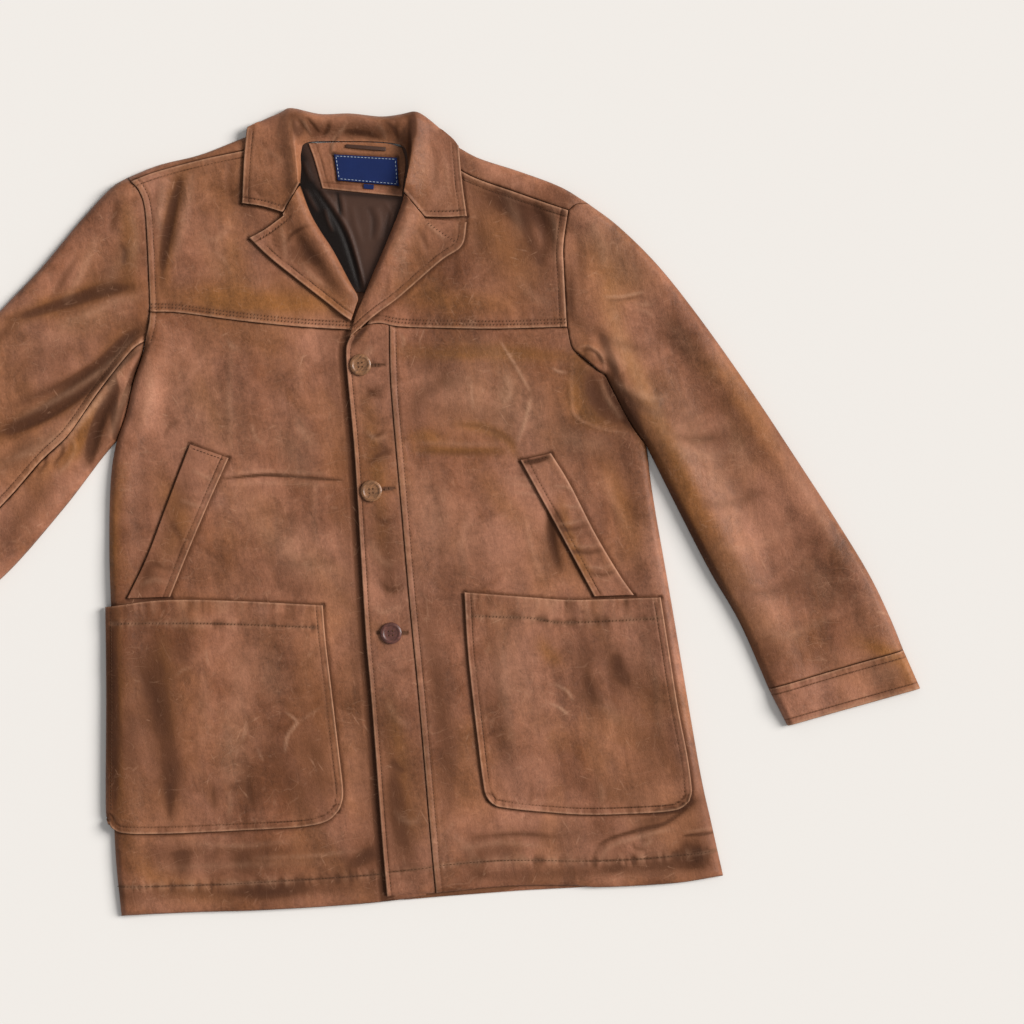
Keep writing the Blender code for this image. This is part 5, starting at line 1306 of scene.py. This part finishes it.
def make_cuff(side, cuff_seam, cuff_end, way):
    ends = [np.vstack([cuff_seam[end], cuff_end[end]]) for end in (0, -1)]
    bands = [Roll(line, (0.0, 0.0), 0.01) for line in ends]

    def height(plan):
        return dropped(plan, levelled(plan, SLEEVE_ROLLS), OUTER_ROLLS + INNER_ROLLS + bands)

    edges = [edge(cuff_seam, TURNED, 0.3), edge(cuff_end, TURNED, 0.1)]
    skin = Skin(height, edges, [])
    plan = patch(cuff_seam, cuff_end, *ends, (SEAM_GAP, 0.0, 0.0, 0.0))
    add_sheet(f"cuff_{side}_top", plan, skin, LEATHER, SLEEVE_LEATHER)
    rows = [row(cuff_seam, -EDGE_STITCH * way, 0.04, 0.96), row(cuff_end, EDGE_STITCH * way, 0.04, 0.96)]
    stitches(f"stitches_cuff_{side}", skin, rows)


def make_pockets():
    for side, outline, lift in (("right", POCKET_RIGHT, 0), ("left", POCKET_LEFT, 1)):
        def base(plan, lift=lift, outline=outline):
            top = levelled(plan, BODY_ROLLS) + lift * overlap_lift(plan) + LEATHER + LAID_GAP
            if lift:
                return top
            return dropped(plan, top, [Roll(smooth(outline["left"]), (0.0, 0.0), 0.01)], 0.010)

        edges = [edge(outline["bottom"], TURNED, 0.3), edge(outline["right"], TURNED, 0.15)]
        edges += [edge(outline["left"], TURNED, 0.15)] * lift
        edges += [edge(outline["top"], BAND, 0.45), edge(outline["stitch"], GROOVE, 0.4)]
        skin = Skin(base, edges, POCKET_CREASES)
        plan = laid_plan(outline)
        add_sheet(f"pocket_{side}", plan, skin, LEATHER, BODY_LEATHER)
        rows = [
            row(outline["right"], -EDGE_STITCH, 0.02, 0.96), row(outline["left"], EDGE_STITCH, 0.02, 0.95),
        ]
        ticks = [row(outline["bottom"], EDGE_STITCH, 0.04, 0.97), row(outline["stitch"], 0.0, 0.01, 0.99)]
        stitches(f"stitches_pocket_{side}", skin, rows, ticks)
    for side, outline, lift in (("right", WELT_RIGHT, 0), ("left", WELT_LEFT, 1)):
        def base(plan, lift=lift):
            return levelled(plan, BODY_ROLLS) + lift * overlap_lift(plan) + LEATHER + LAID_GAP

        lip, fold = ("left", "right") if lift else ("right", "left")
        edges = [edge(outline[lip], TURNED, 0.15), edge(outline[fold], SOFT_EDGE if lift else CUT)]
        edges += [edge(outline[end], CUT) for end in ("top", "bottom")]
        skin = Skin(base, edges, WELT_CREASES)
        plan = laid_plan(outline)
        add_sheet(f"welt_{side}", plan, skin, LEATHER, COLLAR_LEATHER)
        lip_stitch = EDGE_STITCH if lift else -EDGE_STITCH
        rows = [row(outline[lip], lip_stitch, 0.02, 0.98), row(outline["top"], -3.5, 0.1, 0.9)]
        stitches(f"stitches_welt_{side}", skin, rows)


def make_neck():
    lining_top = LEATHER + LINING_GAP + SATIN
    facing_top = lining_top + FACING_GAP + LEATHER
    label_top = facing_top + SEAM_GAP + SATIN

    def loop(plan):
        ends = np.linspace(0, 1, plan.shape[1])
        return label_top + LOOP_RISE * np.sin(math.pi * ends)[None] * np.ones(plan.shape[:2])

    skin = Skin(flat(lining_top + LINING_LIFT), [], LINING_FOLDS)
    add_sheet("lining", laid_plan(LINING, NECK_GRID), skin, SATIN, SATIN_CLOTH)
    edges = [edge(NECK_FACING["bottom"], TURNED, 0.1), edge(NECK_FACING["left"], TURNED, 0.1)]
    edges += beside(LABEL)
    facing_skin = Skin(flat(facing_top), edges, COLLAR_CREASES)
    label_skin = Skin(flat(label_top), [edge(LABEL[side], CUT) for side in SIDES], [])
    border = [
        row(LABEL["top"], -2.0, 0.035, 0.965), row(LABEL["bottom"], 2.0, 0.035, 0.965),
        row(LABEL["left"], 2.0, 0.09, 0.91), row(LABEL["right"], -2.0, 0.09, 0.91),
    ]
    line = stitches("stitches_label", label_skin, border, (), LABEL_THREAD)
    skin = Skin(flat(label_top), [], [])
    plan = laid_plan(SIZE_TAB, LABEL_GRID)
    tab = add_sheet("size_tab", plan, skin, SATIN, LABEL_CLOTH)
    plan = laid_plan(LABEL, LABEL_GRID)
    add_sheet("label", plan, label_skin, SATIN, LABEL_CLOTH)
    plan = laid_plan(HANGER_LOOP, LABEL_GRID)
    hanger = add_sheet("hanger_loop", plan, Skin(loop, [], []), SATIN, SATIN_CLOTH)
    plan = laid_plan(NECK_FACING, NECK_GRID)
    add_sheet("neck_facing", plan, facing_skin, LEATHER, COLLAR_LEATHER)


def make_collar_and_lapels():
    outer = joined(COLLAR_LEAF_RIGHT, COLLAR_TOP, COLLAR_LEAF_LEFT)
    first = joined(COLLAR_FOOT_RIGHT, GORGE_RIGHT)
    last = joined(COLLAR_FOOT_LEFT, GORGE_LEFT[::-1])
    edges = [
        edge(COLLAR_LEAF_RIGHT, TURNED, 0.1), edge(COLLAR_LEAF_LEFT, TURNED, 0.1),
        edge(COLLAR_FOOT_RIGHT, TURNED, 0.15), edge(COLLAR_FOOT_LEFT, TURNED, 0.15),
        edge(GORGE_RIGHT, GORGE_LIP), edge(GORGE_LEFT, GORGE_LIP),
    ]
    skin = Skin(collar, edges, COLLAR_CREASES)
    gaps = (0.0, 0.0, NOTCH_GAP, NOTCH_GAP)
    plan = patch(outer, smooth(COLLAR_SEAM), first, last, gaps, 6, COLLAR_GRID)
    add_sheet("collar", plan, skin, TWO_LAYERS, COLLAR_LEATHER)
    rows = [row(COLLAR_LEAF_RIGHT, -EDGE_STITCH, 0.1, 0.95), row(COLLAR_LEAF_LEFT, -EDGE_STITCH, 0.05, 0.9)]
    ticks = [row(COLLAR_FOOT_RIGHT, FOOT_STITCH, 0.17, 0.9), row(COLLAR_FOOT_LEFT, -FOOT_STITCH, 0.17, 0.9)]
    stitches("stitches_collar", skin, rows, ticks)
    skin = Skin(flat(LEATHER), [], [])
    add_sheet("collar_fall", laid_plan(COLLAR_FALL), skin, LEATHER, COLLAR_LEATHER)
    for side, top, low, roll, way in (
        ("right", joined(LAPEL_TOP_RIGHT, GORGE_RIGHT), LAPEL_LOW_RIGHT, LAPEL_ROLL_RIGHT, 1),
        ("left", joined(LAPEL_TOP_LEFT, GORGE_LEFT[::-1]), LAPEL_LOW_LEFT, LAPEL_ROLL_LEFT, -1),
    ):
        roll_line, low_line = smooth(roll), smooth(low)
        tail = np.vstack([low_line[-1], 0.5 * (low_line[-1] + roll_line[-4]), roll_line[-4]])
        outer_top = LAPEL_TOP_RIGHT if way > 0 else LAPEL_TOP_LEFT
        edges = [edge(low, TURNED, 0.12), edge(outer_top, TURNED if way > 0 else CUT, 0.1)]
        skin = Skin(lapel(roll), edges, LAPEL_CREASES)
        gaps = (NOTCH_GAP, 0.0, 0.0, 0.0)
        plan = patch(top, tail, low_line, roll_line[:-3], gaps, spacing=COLLAR_GRID)
        add_sheet(f"lapel_{side}", plan, skin, TWO_LAYERS, COLLAR_LEATHER)
        inner_row = row(LAPEL_TOP_RIGHT, -FOOT_STITCH, 0.2, 0.95) if way > 0 else smooth(LAPEL_BAR_TACK)
        stitches(f"stitches_lapel_{side}", skin, [row(low, EDGE_STITCH * way, 0.08, 0.93)], [inner_row])


BUTTON_PROFILE = [
    (0.0, 0.0020), (0.30, 0.0019), (0.55, 0.0020), (0.66, 0.0022), (0.72, 0.0027), (0.78, 0.0029),
    (0.84, 0.0027), (0.92, 0.0024), (0.98, 0.0020), (1.0, 0.0015), (0.97, 0.0008), (0.90, 0.0003), (0.0, 0.0),
]
BUTTON_HOLES = [(-0.0020, -0.0022), (0.0020, -0.0022), (-0.0020, 0.0022), (0.0020, 0.0022)]
BUTTON_HOLE_RADIUS = 0.0009
BUTTON_HOLE_HEIGHT = 0.0021
BUTTON_HOLE_DEPTH = 0.0003
TAN_HORN = (0.185, 0.082, 0.034)
DARK_HORN = (0.085, 0.028, 0.020)
BUTTON_COLOURS = [TAN_HORN, TAN_HORN, DARK_HORN]


def turned(profile, sides):
    """Points and faces of a profile of radius and height turned round the upright axis."""
    turns = np.linspace(0, 2 * math.pi, sides, endpoint=False)
    points = np.concatenate([
        np.column_stack([radius * np.cos(turns), radius * np.sin(turns), np.full(sides, height)])
        for radius, height in profile
    ])
    faces = [
        (r * sides + s, (r + 1) * sides + s, (r + 1) * sides + (s + 1) % sides, r * sides + (s + 1) % sides)
        for r in range(len(profile) - 1) for s in range(sides)
    ]
    return points, faces + [tuple(range(sides)), tuple(range(len(points) - sides, len(points)))[::-1]]


def make_buttons():
    rings = [(max(share, 0.002) * BUTTON_DIAMETER / 2, height) for share, height in BUTTON_PROFILE]
    button, button_faces = turned(rings, 48)
    depths = (BUTTON_HOLE_HEIGHT, BUTTON_HOLE_HEIGHT - BUTTON_HOLE_DEPTH)
    rings = [(BUTTON_HOLE_RADIUS, depth) for depth in depths]
    hole, hole_faces = turned(rings, 12)
    for number, (spot, color) in enumerate(zip(place(BUTTONS_PX), BUTTON_COLOURS), 1):
        foot = np.array([*spot, body_left(spot[None])[0] + BUTTON_GAP])
        material = horn(f"horn_{number}", color)
        points = (button + foot).tolist()
        piece = add_object(f"button_{number}_horn", points, button_faces, material)
        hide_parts(f"button_{number}")
        holes = np.concatenate([hole + foot + [*shift, 0.0] for shift in BUTTON_HOLES])
        faces = [
            tuple(corner + copy * len(hole) for corner in face)
            for copy in range(len(BUTTON_HOLES)) for face in hole_faces
        ]
        add_object(f"button_{number}_holes", holes.tolist(), faces, THREAD)


back_hem = make_back_hem()
make_back_yokes()
make_yokes()
make_fronts()
make_placket()
make_sleeves()
make_pockets()
make_neck()
make_collar_and_lapels()
make_buttons()

for name in (
    "back", "sleeve_right_under", "sleeve_left_under", "cuff_right_under", "cuff_left_under"
):
    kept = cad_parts[name]
    kept.data.materials.clear()
    kept.data.materials.append(BODY_LEATHER)


def add_stage():
    floor_mesh = bpy.data.meshes.new("floor")
    corners = [(x, y, FLOOR_HEIGHT) for x, y in ((-8, -8), (8, -8), (8, 8), (-8, 8))]
    floor_mesh.from_pydata(corners, [], [(0, 1, 2, 3)])
    floor = in_scene("floor", floor_mesh)
    nodes = Nodes("floor")
    nodes.finish((0.745, 0.715, 0.682), 0.9, 0.1)
    floor_mesh.materials.append(nodes.material)
    world = bpy.data.worlds.new("studio")
    world.use_nodes = True
    background = world.node_tree.nodes["Background"].inputs
    background["Color"].default_value = (0.97, 0.985, 1.0, 1)
    background["Strength"].default_value = 0.40
    bpy.context.scene.world = world
    bpy.context.scene.view_settings.view_transform = "Standard"
    middle = place([(PHOTO_SIZE_PX / 2,) * 2])[0]
    light = bpy.data.lights.new("key", "SUN")
    light.angle = math.radians(28)
    light.energy = 4.6
    light.color = (1.0, 0.985, 0.965)
    key = in_scene("key", light)
    key.rotation_euler = (0, math.radians(90) - KEY_ELEVATION, KEY_AZIMUTH)
    camera_data = bpy.data.cameras.new("camera")
    camera_data.sensor_width = 36.0
    camera_data.lens = 36.0 * (CAMERA_DISTANCE - FLAT_HEIGHT) / (PHOTO_SIZE_PX * METRES_PER_PX)
    camera = in_scene("camera", camera_data)
    camera.location = (*middle, CAMERA_DISTANCE)
    camera.rotation_euler = (0, 0, -COAT_TURN)
    bpy.context.scene.camera = camera


add_stage()
